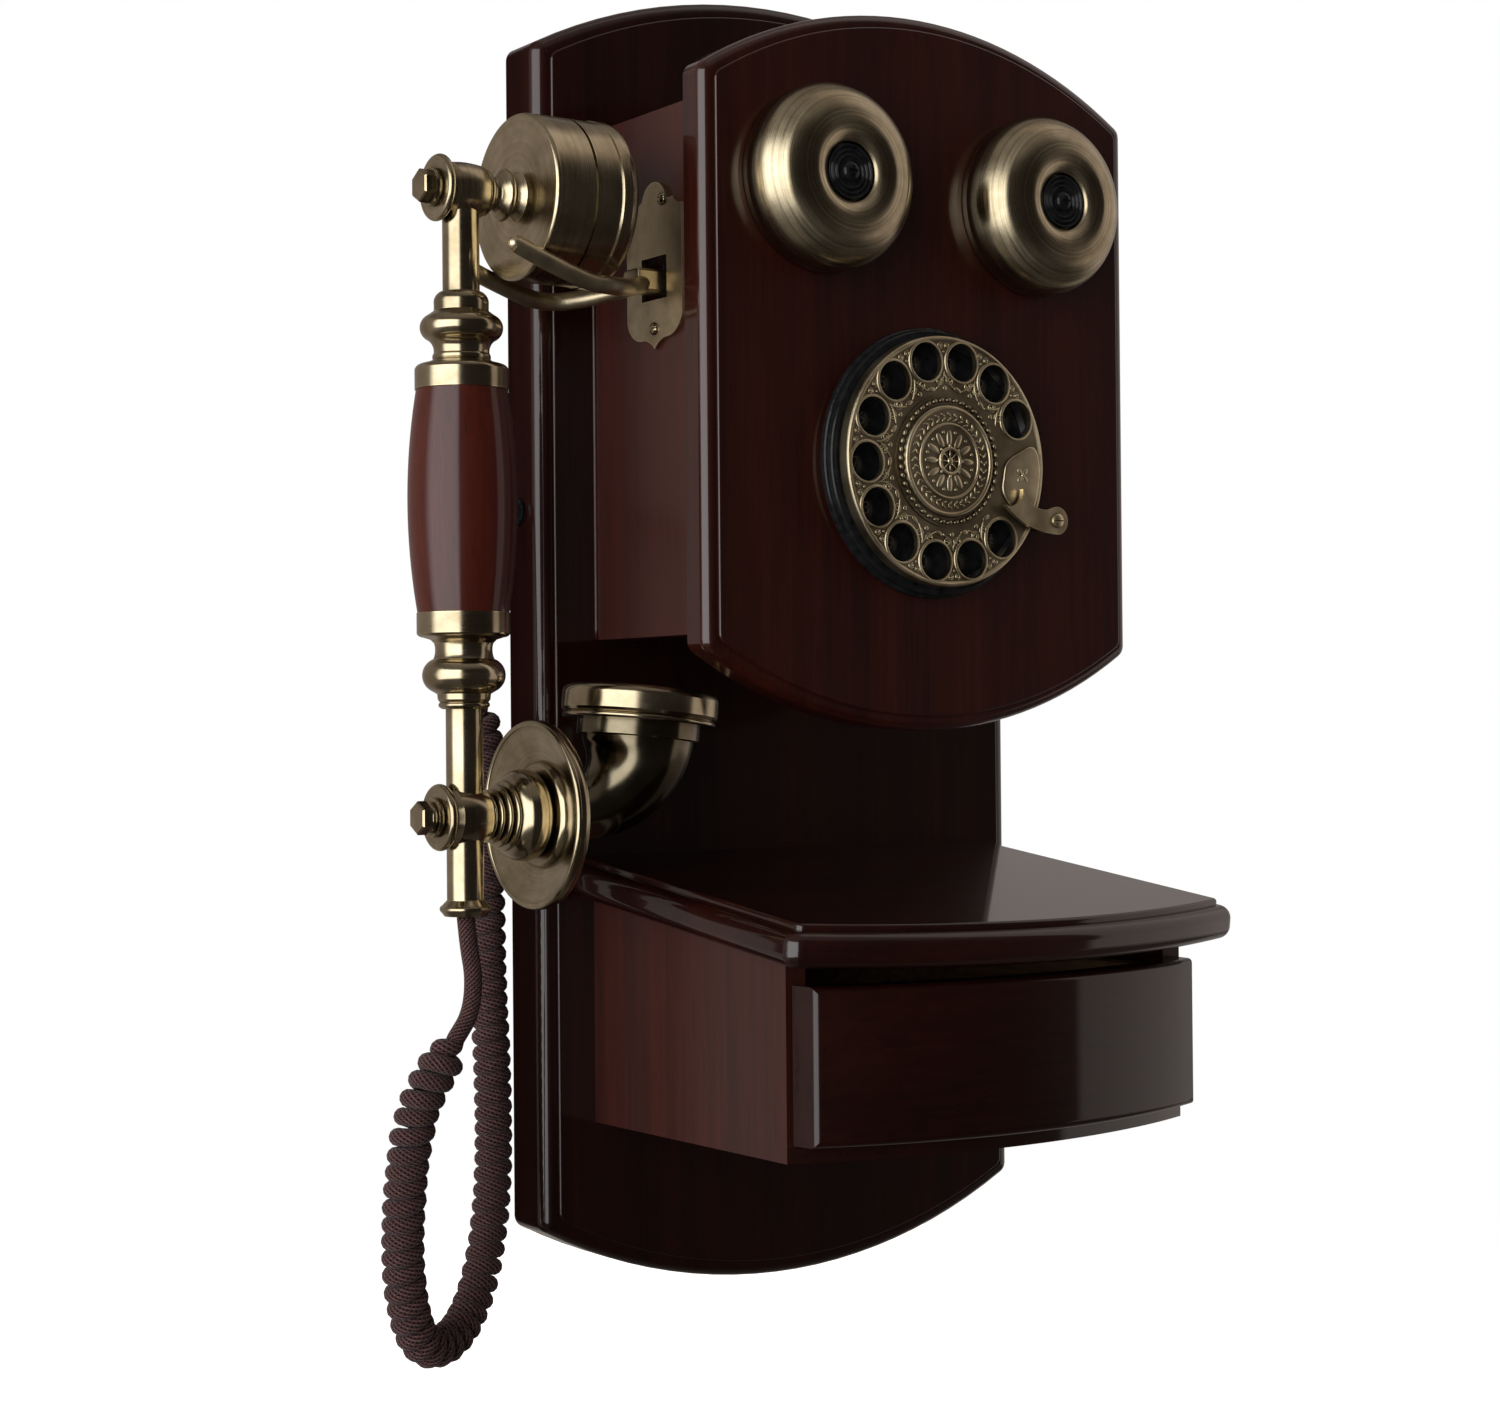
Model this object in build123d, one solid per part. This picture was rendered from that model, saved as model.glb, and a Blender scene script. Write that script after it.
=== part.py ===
from build123d import *
import os
from math import cos, sin, tan, radians, sqrt, pi, atan, degrees

os.makedirs("parts", exist_ok=True)

# Wall crank telephone. Millimetres, +Z up, +Y into the wall, front towards -Y.
# The origin is the centre of the backboard's rear face, where it meets the wall.

# ---- driving dimensions -------------------------------------------------------------
BACK_HALF_W, BACK_CORNER_Z, BACK_RISE, BACK_T = 108.5, 212.5, 28.0, 22.6
PANEL_HALF_W, PANEL_LOW, PANEL_HIGH, PANEL_RISE, PANEL_T = 95.0, -6.9, 188.8, 28.4, 12.6
BOX_HALF_W, BOX_LOW, BOX_HIGH, BOX_WALL = 85.6, -1.6, 182.1, 8.0
BACK_FRONT = -BACK_T                       # y of the backboard's front face
PANEL_FRONT = -108.6                       # y of the face panel's front face
PANEL_REAR = PANEL_FRONT + PANEL_T

BELL_X, BELL_Z, BELL_R, BELL_SHEET = 47.7, 154.0, 31.8, 1.6
BELL_SCREW_R = 2.0

DIAL_Z = 59.0
WHEEL_R, WHEEL_FACE, WHEEL_T = 44.1, 10.6, 2.2    # face height is measured out from the panel
HOLE_COUNT, HOLE_PCR, HOLE_R = 12, 35.6, 6.75
HOLE_FIRST_DEG, HOLE_STEP_DEG = 27.5, 25.9
BASE_R, MECHANISM_R, SPINDLE_R = 47.8, 34.0, 3.0
RUNNING = 0.05                             # radial clearance of the running fits

HOOK_Y, HOOK_Z = -65.2, 121.5              # centre of the hook's shank
HOOK_PIVOT_X, HOOK_PIN_R = -60.0, 2.0
SHANK_W, SHANK_H, SHANK_END = 10.0, 8.0, -97.0
PRONG_R, PRONG_HALF_H, PRONG_SPREAD = 2.4, 3.1, 20.2
SLOT_HALF_W, SLOT_LOW, SLOT_HIGH = 8.0, 115.5, 130.5
PLATE_T = 1.6

HANDSET_X, HANDSET_Y = -163.5, HOOK_Y      # the handset's upright axis
EAR_Z, MOUTH_Z = 145.5, -62.5              # heights of its two cross-pieces
TUBE_R, CROSS_R = 6.15, 9.5
RECEIVER_R, RECEIVER_FACE, RECEIVER_END = 28.1, -142.8, -109.5
DISC_R, DISC_X, DISC_RIM_X, DISC_BACK = 32.0, -134.8, -139.0, -132.6
MOUTH_X, MOUTH_RIM_Z, MOUTH_R, MOUTH_TILT = -94.3, -25.2, 27.2, 6.0
ELBOW_R = 28.0                             # bend radius of the horn's centre line

SHELF_TOP_Z, SHELF_SLOPE, SHELF_T = -79.2, 0.129, 14.3
SHELF_FLAT_HALF_W, SHELF_LIP, SHELF_STEP = 93.0, 5.0, 2.3
SHELF_CORNER_Y, SHELF_BOW = -155.7, 16.5
CASE_HALF_W, CASE_WALL, CASE_FRONT, CASE_LOW = 87.6, 8.0, -140.8, -175.4
CASE_FLOOR_T = 5.0
DRAWER_LOW, DRAWER_HIGH, DRAWER_PANEL_T = -169.6, -117.6, 10.5
DRAWER_HALF_W, DRAWER_BOW, DRAWER_GAP = 85.4, 17.0, 0.5

CRANK_Y, CRANK_Z, CRANK_THROW = -61.0, 90.0, 30.0
CRANK_SHAFT_R, CRANK_ARM_X, CRANK_ARM_T = 3.0, 97.0, 4.0

CORD_R, COIL_R = 3.05, 7.5
BUSHING_Y, BUSHING_Z, BUSHING_LIP = -6.5, 45.0, 4.0

GAP = 0.3                                  # between bodies that move past each other


# ---- helpers -------------------------------------------------------------------------
def block(x0, x1, y0, y1, z0, z1):
    return Pos((x0 + x1) / 2, (y0 + y1) / 2, (z0 + z1) / 2) * Box(x1 - x0, y1 - y0, z1 - z0)


def rod(radius, start, end):
    """A round bar between two points."""
    axis = Vector(*end) - Vector(*start)
    return extrude(Plane(origin=start, z_dir=axis) * Circle(radius), axis.length)


def outline(points, place):
    """A closed face. A point with a third value is one that the next stretch bends through."""
    edges, here, through = [], points[0], None
    for point in points[1:] + points[:1]:
        if len(point) == 3:
            through = point[:2]
            continue
        if through:
            edges.append(ThreePointArc(place(*here), place(*through), place(*point)))
        else:
            edges.append(Line(place(*here), place(*point)))
        here, through = point, None
    return Face(Wire(edges))


def turned(points):
    """A turned solid about Z from (radius, height) points."""
    return revolve(outline(points, lambda r, t: (r, 0, t)), Axis.Z, 360)


def on_panel(x, z, solid):
    """Stands a turned solid on the face panel, its height pointing at the viewer."""
    return Pos(x, PANEL_FRONT, z) * Rot(90, 0, 0) * solid


def along_x(z, solid):
    """Lays a turned solid on one of the handset's cross axes: its heights are x positions."""
    return Pos(0, HANDSET_Y, z) * Rot(0, 90, 0) * solid


def arched(half_w, low, high, rise, inset=0.0, corner=5.0):
    """The outline of a board with straight sides and bowed ends, drawn in by inset."""
    radius = (half_w**2 + rise**2) / (2 * rise) - inset
    w = half_w - inset
    sagitta = radius - sqrt(radius**2 - w**2)
    top, bottom = high + rise - inset, low - rise + inset
    points = [(-w, bottom + sagitta), (0, bottom, "through"), (w, bottom + sagitta),
              (w, top - sagitta), (0, top, "through"), (-w, top - sagitta)]
    face = outline(points, lambda x, z: (x, 0, z))
    return fillet(face.vertices(), corner)


def moulded_board(rear, front, size, edge, step):
    """A bowed board whose front edge is rounded over, with a flat field standing proud of it."""
    body = extrude(Pos(0, rear, 0) * arched(*size), amount=rear - front - step, dir=(0, -1, 0))
    body = fillet(body.faces().sort_by(Axis.Y)[0].edges(), edge)
    field = extrude(Pos(0, front + step, 0) * arched(*size, inset=edge + 0.9, corner=4.0),
                    amount=step, dir=(0, -1, 0))
    field = fillet(field.faces().sort_by(Axis.Y)[0].edges(), step * 0.6)
    return body + field


def save(name, shape):
    solids = shape.solids()
    export_step(solids[0] if len(solids) == 1 else Compound(children=list(solids)),
                f"parts/{name}.step")


# ---- backboard -----------------------------------------------------------------------
HANGER_X, HANGER_Z, HANGER_W, HANGER_H, HANGER_T = 70.0, 165.0, 24.0, 40.0, 1.5
KEYHOLE_R, KEYHOLE_SLOT_R, KEYHOLE_DROP, KEYHOLE_RISE = 5.0, 2.5, 6.0, 8.0
HANGER_FIT, HANGER_POCKET = 0.1, 9.5
POCKET_HALF_W, POCKET_DOWN, POCKET_UP = 7.0, 14.0, 13.0    # room for a screw head behind the plate
BACK_EDGE, BACK_STEP = 5.0, 1.4            # rounding of the front edge, height of the field


def keyhole(x, depth):
    """The round entry and the narrow slot above it, cut through a hanger plate."""
    entry = rod(KEYHOLE_R, (x, 1, HANGER_Z - KEYHOLE_DROP), (x, -depth, HANGER_Z - KEYHOLE_DROP))
    slot = block(x - KEYHOLE_SLOT_R, x + KEYHOLE_SLOT_R, -depth, 1,
                 HANGER_Z - KEYHOLE_DROP, HANGER_Z + KEYHOLE_RISE)
    end = rod(KEYHOLE_SLOT_R, (x, 1, HANGER_Z + KEYHOLE_RISE), (x, -depth, HANGER_Z + KEYHOLE_RISE))
    return entry + slot + end


def backboard():
    size = (BACK_HALF_W, -BACK_CORNER_Z, BACK_CORNER_Z, BACK_RISE)
    board = moulded_board(0, BACK_FRONT, size, BACK_EDGE, BACK_STEP)
    w, h = HANGER_W / 2 + HANGER_FIT, HANGER_H / 2 + HANGER_FIT
    for x in (-HANGER_X, HANGER_X):
        board -= block(x - w, x + w, -HANGER_T, 1, HANGER_Z - h, HANGER_Z + h)
        board -= block(x - POCKET_HALF_W, x + POCKET_HALF_W, -HANGER_POCKET, 1,
                       HANGER_Z - POCKET_DOWN, HANGER_Z + POCKET_UP)
    return board - rod(BUSHING_R, (-BACK_HALF_W - 1, BUSHING_Y, BUSHING_Z),
                       (-BUSHING_IN, BUSHING_Y, BUSHING_Z))


def hanger_plates():
    plates = []
    for x in (-HANGER_X, HANGER_X):
        plate = block(x - HANGER_W / 2, x + HANGER_W / 2, -HANGER_T, 0,
                      HANGER_Z - HANGER_H / 2, HANGER_Z + HANGER_H / 2)
        plates.append(plate - keyhole(x, HANGER_T + 1))
    return Compound(children=plates)


# ---- upper box -----------------------------------------------------------------------
def box_left_side():
    side = block(-BOX_HALF_W, -BOX_HALF_W + BOX_WALL, PANEL_REAR, BACK_FRONT, BOX_LOW, BOX_HIGH)
    side -= block(-BOX_HALF_W - 1, -BOX_HALF_W + BOX_WALL + 1, HOOK_Y - SLOT_HALF_W - 1,
                  HOOK_Y + SLOT_HALF_W + 1, SLOT_LOW - 2, SLOT_HIGH + 2)
    for y, z in plate_screw_places():
        side -= rod(PLATE_SCREW_R, (-BOX_HALF_W - 1, y, z), (-BOX_HALF_W + PLATE_SCREW_DEEP, y, z))
    return side


def box_right_side():
    side = block(BOX_HALF_W - BOX_WALL, BOX_HALF_W, PANEL_REAR, BACK_FRONT, BOX_LOW, BOX_HIGH)
    return side - rod(CRANK_SLEEVE_R, (BOX_HALF_W - BOX_WALL - 1, CRANK_Y, CRANK_Z),
                      (BOX_HALF_W + 1, CRANK_Y, CRANK_Z))


def box_top():
    inner = BOX_HALF_W - BOX_WALL
    return block(-inner, inner, PANEL_REAR, BACK_FRONT, BOX_HIGH - BOX_WALL, BOX_HIGH)


JACK_X, JACK_Y, JACK_W, JACK_D, JACK_H = 40.0, -45.0, 15.0, 13.0, 16.0
JACK_MOUTH_W, JACK_MOUTH_D, JACK_MOUTH_DEEP = 9.5, 7.0, 11.0


def box_bottom():
    inner = BOX_HALF_W - BOX_WALL
    board = block(-inner, inner, PANEL_REAR, BACK_FRONT, BOX_LOW, BOX_LOW + BOX_WALL)
    return board - block(JACK_X - JACK_W / 2, JACK_X + JACK_W / 2, JACK_Y - JACK_D / 2,
                         JACK_Y + JACK_D / 2, BOX_LOW - 1, BOX_LOW + BOX_WALL + 1)


def line_jack():
    """Modular socket for the line cord, its mouth flush with the underside of the box."""
    body = block(JACK_X - JACK_W / 2, JACK_X + JACK_W / 2, JACK_Y - JACK_D / 2, JACK_Y + JACK_D / 2,
                 BOX_LOW, BOX_LOW + JACK_H)
    mouth = block(JACK_X - JACK_MOUTH_W / 2, JACK_X + JACK_MOUTH_W / 2, JACK_Y - JACK_MOUTH_D / 2,
                  JACK_Y + JACK_MOUTH_D / 2, BOX_LOW - 1, BOX_LOW + JACK_MOUTH_DEEP)
    return body - mouth


def face_panel():
    size = (PANEL_HALF_W, PANEL_LOW, PANEL_HIGH, PANEL_RISE)
    panel = moulded_board(PANEL_REAR, PANEL_FRONT, size, PANEL_EDGE, PANEL_STEP)
    panel -= through_panel(MECHANISM_R + 0.5, 0, DIAL_Z)
    for x in (-BELL_X, BELL_X):
        panel -= through_panel(BELL_SCREW_R + RUNNING, x, BELL_Z)
    return panel - through_panel(STOP_SCREW_R, *finger_stop_foot())


def through_panel(radius, x, z):
    return rod(radius, (x, PANEL_REAR + 1, z), (x, PANEL_FRONT - 1, z))


PANEL_EDGE, PANEL_STEP = 4.0, 1.2
BOARD_FACE, BOARD_T, BOARD_HALF_W, BOARD_LOW, BOARD_HIGH = -38.0, 1.6, 45.0, 20.0, 120.0
SOUNDER_R, SOUNDER_H, TERMINAL_H = 14.0, 9.0, 8.0


def circuit_board():
    """The board on its four posts, with a sounder and a terminal block standing on it."""
    front = BOARD_FACE - BOARD_T
    board = block(-BOARD_HALF_W, BOARD_HALF_W, front, BOARD_FACE, BOARD_LOW, BOARD_HIGH)
    for x in (5 - BOARD_HALF_W, BOARD_HALF_W - 5):
        for z in (BOARD_LOW + 6, BOARD_HIGH - 6):
            board += rod(3, (x, BOARD_FACE, z), (x, BACK_FRONT, z))
    board += rod(SOUNDER_R, (20, front, 95), (20, front - SOUNDER_H, 95))
    return board + block(-38, -10, front - TERMINAL_H, front, 30, 38)


# ---- bells ---------------------------------------------------------------------------
BELL_LIFT, BELL_FLOOR, RECESS_R = 0.4, 17.0, 9.7
CAP_TOP, SCREW_TOP = 18.8, 20.4


def bell(x):
    """A domed gong, hollow behind, with a round recess for its screw."""
    outer = [(BELL_R, BELL_LIFT), (BELL_R, BELL_LIFT + 2.2), (29.6, 14.6, "through"), (19.4, 21.1),
             (15.0, 21.4, "through"), (11.0, 19.6), (RECESS_R + 0.4, 18.7, "through"), (RECESS_R, BELL_FLOOR)]
    bore, under, lip = BELL_SCREW_R + RUNNING, BELL_FLOOR - BELL_SHEET, BELL_R - BELL_SHEET
    floor = [(bore, BELL_FLOOR), (bore, under)]
    inner = [(RECESS_R + 1.5, under), (12.2, 18.5), (15.2, 19.8, "through"), (18.9, 19.5),
             (28.1, 13.8, "through"), (lip, BELL_LIFT + 2.0), (lip, BELL_LIFT)]
    return on_panel(x, BELL_Z, turned(outer + floor + inner))


def bell_post(x):
    bore, top = BELL_SCREW_R + RUNNING, BELL_FLOOR - BELL_SHEET
    post = turned([(bore, 0), (6.5, 0), (6.5, 2), (4.5, 3.5), (4.5, top), (bore, top)])
    return on_panel(x, BELL_Z, post)


CAP_R, RIB_HIGH = 9.4, 0.8


def bell_cap(x):
    """The ribbed black washer in the bell's recess."""
    bore, low, middle = BELL_SCREW_R + RUNNING, CAP_TOP - RIB_HIGH, CAP_TOP - RIB_HIGH / 2
    ribs = []
    for r in (CAP_R, CAP_R - 1.7, CAP_R - 3.4):
        ribs += [(r, middle), (r - 0.4, CAP_TOP, "through"), (r - 0.8, middle), (r - 1.2, low)]
    profile = [(bore, BELL_FLOOR), (CAP_R, BELL_FLOOR)] + ribs + [(3.7, low), (bore, low)]
    return on_panel(x, BELL_Z, turned(profile))


def bell_screw(x):
    """A cross-head screw from the bell's recess into the panel."""
    low = CAP_TOP - RIB_HIGH
    head = turned([(0, -9), (BELL_SCREW_R, -9), (BELL_SCREW_R, low), (3.5, low), (3.5, low + 1.2),
                   (2.4, SCREW_TOP - 0.3, "through"), (0, SCREW_TOP)])
    for w, d in ((3.6, 0.9), (0.9, 3.6)):
        head -= Pos(0, 0, SCREW_TOP) * Box(w, d, 2.4)
    return on_panel(x, BELL_Z, head)


# ---- dial ----------------------------------------------------------------------------
PLATE_TOP, PLATE_R, BASE_FLOOR, BASE_TOP = 3.4, 41.0, 2.4, 5.0
WHEEL_SKIRT, WHEEL_SKIRT_R = 5.4, 42.7     # how low the wheel's rim reaches, and its inner radius
MEDALLION_R, MEDALLION_T = 23.2, 1.2
STOP_DEG, STOP_R, STOP_LOW, STOP_T, STOP_SCREW_R = -22.0, 51.4, 11.9, 1.8, 1.5


def dial_base():
    """The black stepped ring around the wheel, with its floor."""
    ring = turned([(9, 0), (BASE_R, 0), (BASE_R, 1.6), (BASE_R - 0.3, 2.2, "through"), (BASE_R - 1.0, 2.5),
                   (BASE_R - 1.0, 3.9), (BASE_R - 1.3, 4.7, "through"), (BASE_R - 2.1, BASE_TOP),
                   (43.4, BASE_TOP), (41.6, BASE_FLOOR + 1), (41.6, BASE_FLOOR), (9, BASE_FLOOR)])
    return on_panel(0, DIAL_Z, ring)


def number_plate():
    plate = turned([(9, BASE_FLOOR), (PLATE_R, BASE_FLOOR), (PLATE_R, PLATE_TOP), (9, PLATE_TOP)])
    return on_panel(0, DIAL_Z, plate)


def dial_mechanism():
    """The governor and contact housing behind the dial, with the spindle's bearing."""
    housing = turned([(0, -30), (MECHANISM_R - 4, -30), (MECHANISM_R - 4, -16), (MECHANISM_R, -14),
                      (MECHANISM_R, 0), (0, 0)])
    bore = SPINDLE_R + RUNNING
    return on_panel(0, DIAL_Z, housing) - rod(bore, (0, PANEL_FRONT - 1, DIAL_Z), (0, PANEL_FRONT + 14, DIAL_Z))


def hole_centres():
    for k in range(HOLE_COUNT):
        a = radians(HOLE_FIRST_DEG + k * HOLE_STEP_DEG)
        yield HOLE_PCR * cos(a), HOLE_PCR * sin(a)


def dial_wheel():
    """The finger wheel: a rim with a skirt, and a raised lip round each finger hole."""
    rear, face, r = WHEEL_FACE - WHEEL_T, WHEEL_FACE, WHEEL_R
    wheel = turned([(SPINDLE_R, rear), (WHEEL_SKIRT_R, rear), (WHEEL_SKIRT_R, WHEEL_SKIRT),
                    (r - 0.5, WHEEL_SKIRT), (r, WHEEL_SKIRT + 0.5), (r, face - 1.0),
                    (r - 0.3, face - 0.3, "through"), (r - 1.2, face), (r - 2.0, face - 0.5),
                    (SPINDLE_R, face - 0.5)])
    lip = turned([(HOLE_R - 0.5, rear + 0.5), (HOLE_R + 1.0, rear + 0.5), (HOLE_R + 1.0, face - 0.4),
                  (HOLE_R + 0.5, face, "through"), (HOLE_R - 0.5, face - 0.4)])
    for x, z in hole_centres():
        wheel += Pos(x, z, 0) * lip
    for x, z in hole_centres():
        wheel -= Pos(x, z, rear - 1) * extrude(Circle(HOLE_R), 6)
    return on_panel(0, DIAL_Z, wheel)


def dial_medallion():
    """The round centre boss: a low step for its beads, a ridge and an inner ridge."""
    low, top = WHEEL_FACE - 0.5, WHEEL_FACE + MEDALLION_T
    boss = turned([(0, low), (MEDALLION_R, low), (MEDALLION_R, low + 0.5), (19.9, low + 0.5), (19.5, top - 0.4),
                   (18.7, top, "through"), (17.9, top - 0.5), (13.6, top - 0.6), (13.0, top - 0.1, "through"),
                   (12.4, top - 0.6), (0, top - 0.6)])
    return on_panel(0, DIAL_Z, boss)


def dial_spindle():
    top = WHEEL_FACE - 0.5
    return on_panel(0, DIAL_Z, turned([(0, -13), (SPINDLE_R, -13), (SPINDLE_R, top), (0, top)]))


def finger_stop_foot():
    """Where the finger stop stands, in x and z."""
    a = radians(STOP_DEG)
    return STOP_R * cos(a), DIAL_Z + STOP_R * sin(a)


def finger_stop():
    """A flat catch on a post beside the wheel: a round foot, a neck and a hooked inner end."""
    fx, fz = finger_stop_foot()
    round_foot = Pos(fx, PANEL_FRONT - STOP_LOW, fz) * Rot(90, 0, 0) * extrude(Circle(5.0), STOP_T)
    edge = [(fx - 2.0, fz + 4.4), (37.5, DIAL_Z - 14.6, "through"), (31.6, DIAL_Z - 8.6),
            (29.6, DIAL_Z - 13.6, "through"), (23.6, DIAL_Z - 14.4), (32.0, DIAL_Z - 20.4, "through"),
            (fx - 1.0, fz - 4.8)]
    leaf = outline(edge, lambda x, z: (x, PANEL_FRONT - STOP_LOW, z))
    leaf = extrude(leaf, amount=STOP_T, dir=(0, -1, 0))
    post = rod(3.0, (fx, PANEL_FRONT, fz), (fx, PANEL_FRONT - STOP_LOW, fz))
    catch = round_foot + leaf + post
    return catch - rod(STOP_SCREW_R, (fx, PANEL_FRONT + 1, fz), (fx, PANEL_FRONT - 20, fz))


def finger_stop_screw():
    fx, fz = finger_stop_foot()
    head = STOP_LOW + STOP_T
    screw = turned([(0, -8), (STOP_SCREW_R, -8), (STOP_SCREW_R, head), (2.6, head), (2.4, head + 0.7),
                    (1.5, head + 1.1, "through"), (0, head + 1.2)])
    slot = Pos(0, 0, head + 1.2) * Box(6, 0.6, 1.0)
    return on_panel(fx, fz, screw - slot)


# ---- hook ----------------------------------------------------------------------------
def hook_plate():
    """The brass plate on the box's left side, pointed below and scalloped above."""
    y = HOOK_Y
    edge = [(y - 17.5, 109), (y - 14, 104, "through"), (y - 8, 102), (y - 3, 100.8, "through"), (y, 98.4),
            (y + 3, 100.8, "through"), (y + 8, 102), (y + 14, 104, "through"), (y + 17.5, 109),
            (y + 17.5, 147), (y + 14.2, 147.6, "through"), (y + 12, 150.2), (y + 9.6, 149.8, "through"),
            (y + 7.2, 151.6), (y, 156.6, "through"), (y - 7.2, 151.6), (y - 9.6, 149.8, "through"),
            (y - 12, 150.2), (y - 14.2, 147.6, "through"), (y - 17.5, 147)]
    plate = extrude(outline(edge, lambda v, z: (-BOX_HALF_W, v, z)), amount=PLATE_T, dir=(-1, 0, 0))
    plate -= block(-BOX_HALF_W - 3, -BOX_HALF_W + 1, y - SLOT_HALF_W, y + SLOT_HALF_W, SLOT_LOW, SLOT_HIGH)
    for py, pz in plate_screw_places():
        plate -= rod(PLATE_SCREW_R, (-BOX_HALF_W + 1, py, pz), (-BOX_HALF_W - 3, py, pz))
    return plate


PLATE_SCREW_R, PLATE_SCREW_DEEP = 1.3, 7.0


def plate_screw_places():
    return [(HOOK_Y, 105.5), (HOOK_Y - 5.5, 150.0)]


def hook_plate_screws():
    screws = []
    for y, z in plate_screw_places():
        screw = turned([(0, -PLATE_SCREW_DEEP), (PLATE_SCREW_R, -PLATE_SCREW_DEEP), (PLATE_SCREW_R, PLATE_T),
                        (2.3, PLATE_T), (2.0, PLATE_T + 0.7, "through"), (0, PLATE_T + 1.1)])
        screw -= Pos(0, 0, PLATE_T + 1.1) * Box(0.6, 5, 0.9)
        screws.append(Pos(-BOX_HALF_W, y, z) * Rot(0, -90, 0) * screw)
    return Compound(children=screws)


BRACKET_T, BRACKET_NEAR, BRACKET_END = 2.4, 8.4, -26.0


def hook_bracket():
    """Two ears on a plate inside the box, which carry the hook's pin and the switch."""
    inner = -BOX_HALF_W + BOX_WALL
    low, high = HOOK_Z - 12, HOOK_Z + 12
    bracket = block(inner, inner + 1.6, HOOK_Y - BRACKET_NEAR - 8, HOOK_Y + BRACKET_NEAR + 8, low, high)
    bracket -= block(inner - 1, inner + 3, HOOK_Y - SLOT_HALF_W, HOOK_Y + SLOT_HALF_W, SLOT_LOW, SLOT_HIGH)
    for side in (-1, 1):
        near, far = HOOK_Y + side * BRACKET_NEAR, HOOK_Y + side * (BRACKET_NEAR + BRACKET_T)
        bracket += block(inner, BRACKET_END, min(near, far), max(near, far), HOOK_Z - 9, HOOK_Z + 7)
    return bracket - pin_bore(HOOK_PIN_R + RUNNING)


def pin_bore(radius):
    return rod(radius, (HOOK_PIVOT_X, HOOK_Y - 20, HOOK_Z), (HOOK_PIVOT_X, HOOK_Y + 20, HOOK_Z))


def hook_switch():
    """The change-over switch at the hook's tail."""
    body = block(-45, -27, HOOK_Y - BRACKET_NEAR, HOOK_Y + BRACKET_NEAR, HOOK_Z - 8, HOOK_Z + 3)
    return body + block(-43.5, -39.5, HOOK_Y - 2, HOOK_Y + 2, HOOK_Z + 3, HOOK_Z + 4.5)


def prong(side):
    """One tine: out from the shank, under the receiver and up past its end."""
    x = [-92.5, -98.5, -107.0, -115.5, -124.5, -134.0, -145.0, -154.5]
    out = [2.4, 6.0, 14.4] + 5 * [PRONG_SPREAD]
    z = [120.4, 118.6, 116.2, 114.9, 115.2, 118.0, 121.9, 125.6]
    points = [(a, HOOK_Y + side * b, c) for a, b, c in zip(x, out, z)]
    path = FilletPolyline(*points, radius=corner_radii(points))
    start = Plane(origin=path @ 0, x_dir=(0, 0, 1), z_dir=path % 0)
    tine = sweep(start * Ellipse(PRONG_HALF_H, PRONG_R), path=path)
    return tine + Pos(*points[-1]) * Sphere(PRONG_R)


def hook_fork():
    shank = block(SHANK_END, -50, HOOK_Y - SHANK_W / 2, HOOK_Y + SHANK_W / 2,
                  HOOK_Z - SHANK_H / 2, HOOK_Z + SHANK_H / 2)
    shank = chamfer(shank.edges().filter_by(Axis.X), 1.0)
    shank = fillet(shank.faces().sort_by(Axis.X)[0].edges(), 0.9)
    fork = shank + prong(-1) + prong(1)
    return fork - pin_bore(HOOK_PIN_R)


def hook_pin():
    reach = BRACKET_NEAR + BRACKET_T + 1
    return rod(HOOK_PIN_R, (HOOK_PIVOT_X, HOOK_Y - reach, HOOK_Z), (HOOK_PIVOT_X, HOOK_Y + reach, HOOK_Z))


# ---- handset -------------------------------------------------------------------------
GRIP_LOW, GRIP_HIGH, GRIP_END_R, GRIP_MID_R = 5.1, 79.0, 15.2, 18.2
UPPER_NECK_TOP, LOWER_NECK_FOOT, LOWER_END = 111.4, -26.8, -95.3


def upright(solid):
    return Pos(HANDSET_X, HANDSET_Y, 0) * solid


def handset_grip():
    middle = (GRIP_LOW + GRIP_HIGH) / 2 + 4
    barrel = turned([(0, GRIP_LOW), (GRIP_END_R, GRIP_LOW), (GRIP_MID_R, middle, "through"),
                     (GRIP_END_R, GRIP_HIGH), (0, GRIP_HIGH)])
    return upright(barrel)


def upper_neck():
    """Turned brass between the grip and the upper tube: ferrule, waist, bulge and collar."""
    return upright(turned([(0, GRIP_HIGH), (15.6, GRIP_HIGH), (15.6, 85.6), (14.9, 86.8, "through"),
                           (13.5, 87.4), (10.8, 88.2), (9.5, 89.0), (9.7, 90.0, "through"), (9.3, 91.0),
                           (9.5, 93.4, "through"), (11.9, 96.0), (13.8, 99.4, "through"), (11.3, 103.6),
                           (9.1, 105.2), (9.1, 107.4), (8.6, 110.0, "through"), (7.2, UPPER_NECK_TOP),
                           (0, UPPER_NECK_TOP)]))


def upper_tube():
    profile = [(0, UPPER_NECK_TOP), (TUBE_R, UPPER_NECK_TOP), (TUBE_R, EAR_Z - 4), (0, EAR_Z - 4)]
    return upright(turned(profile))


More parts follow.
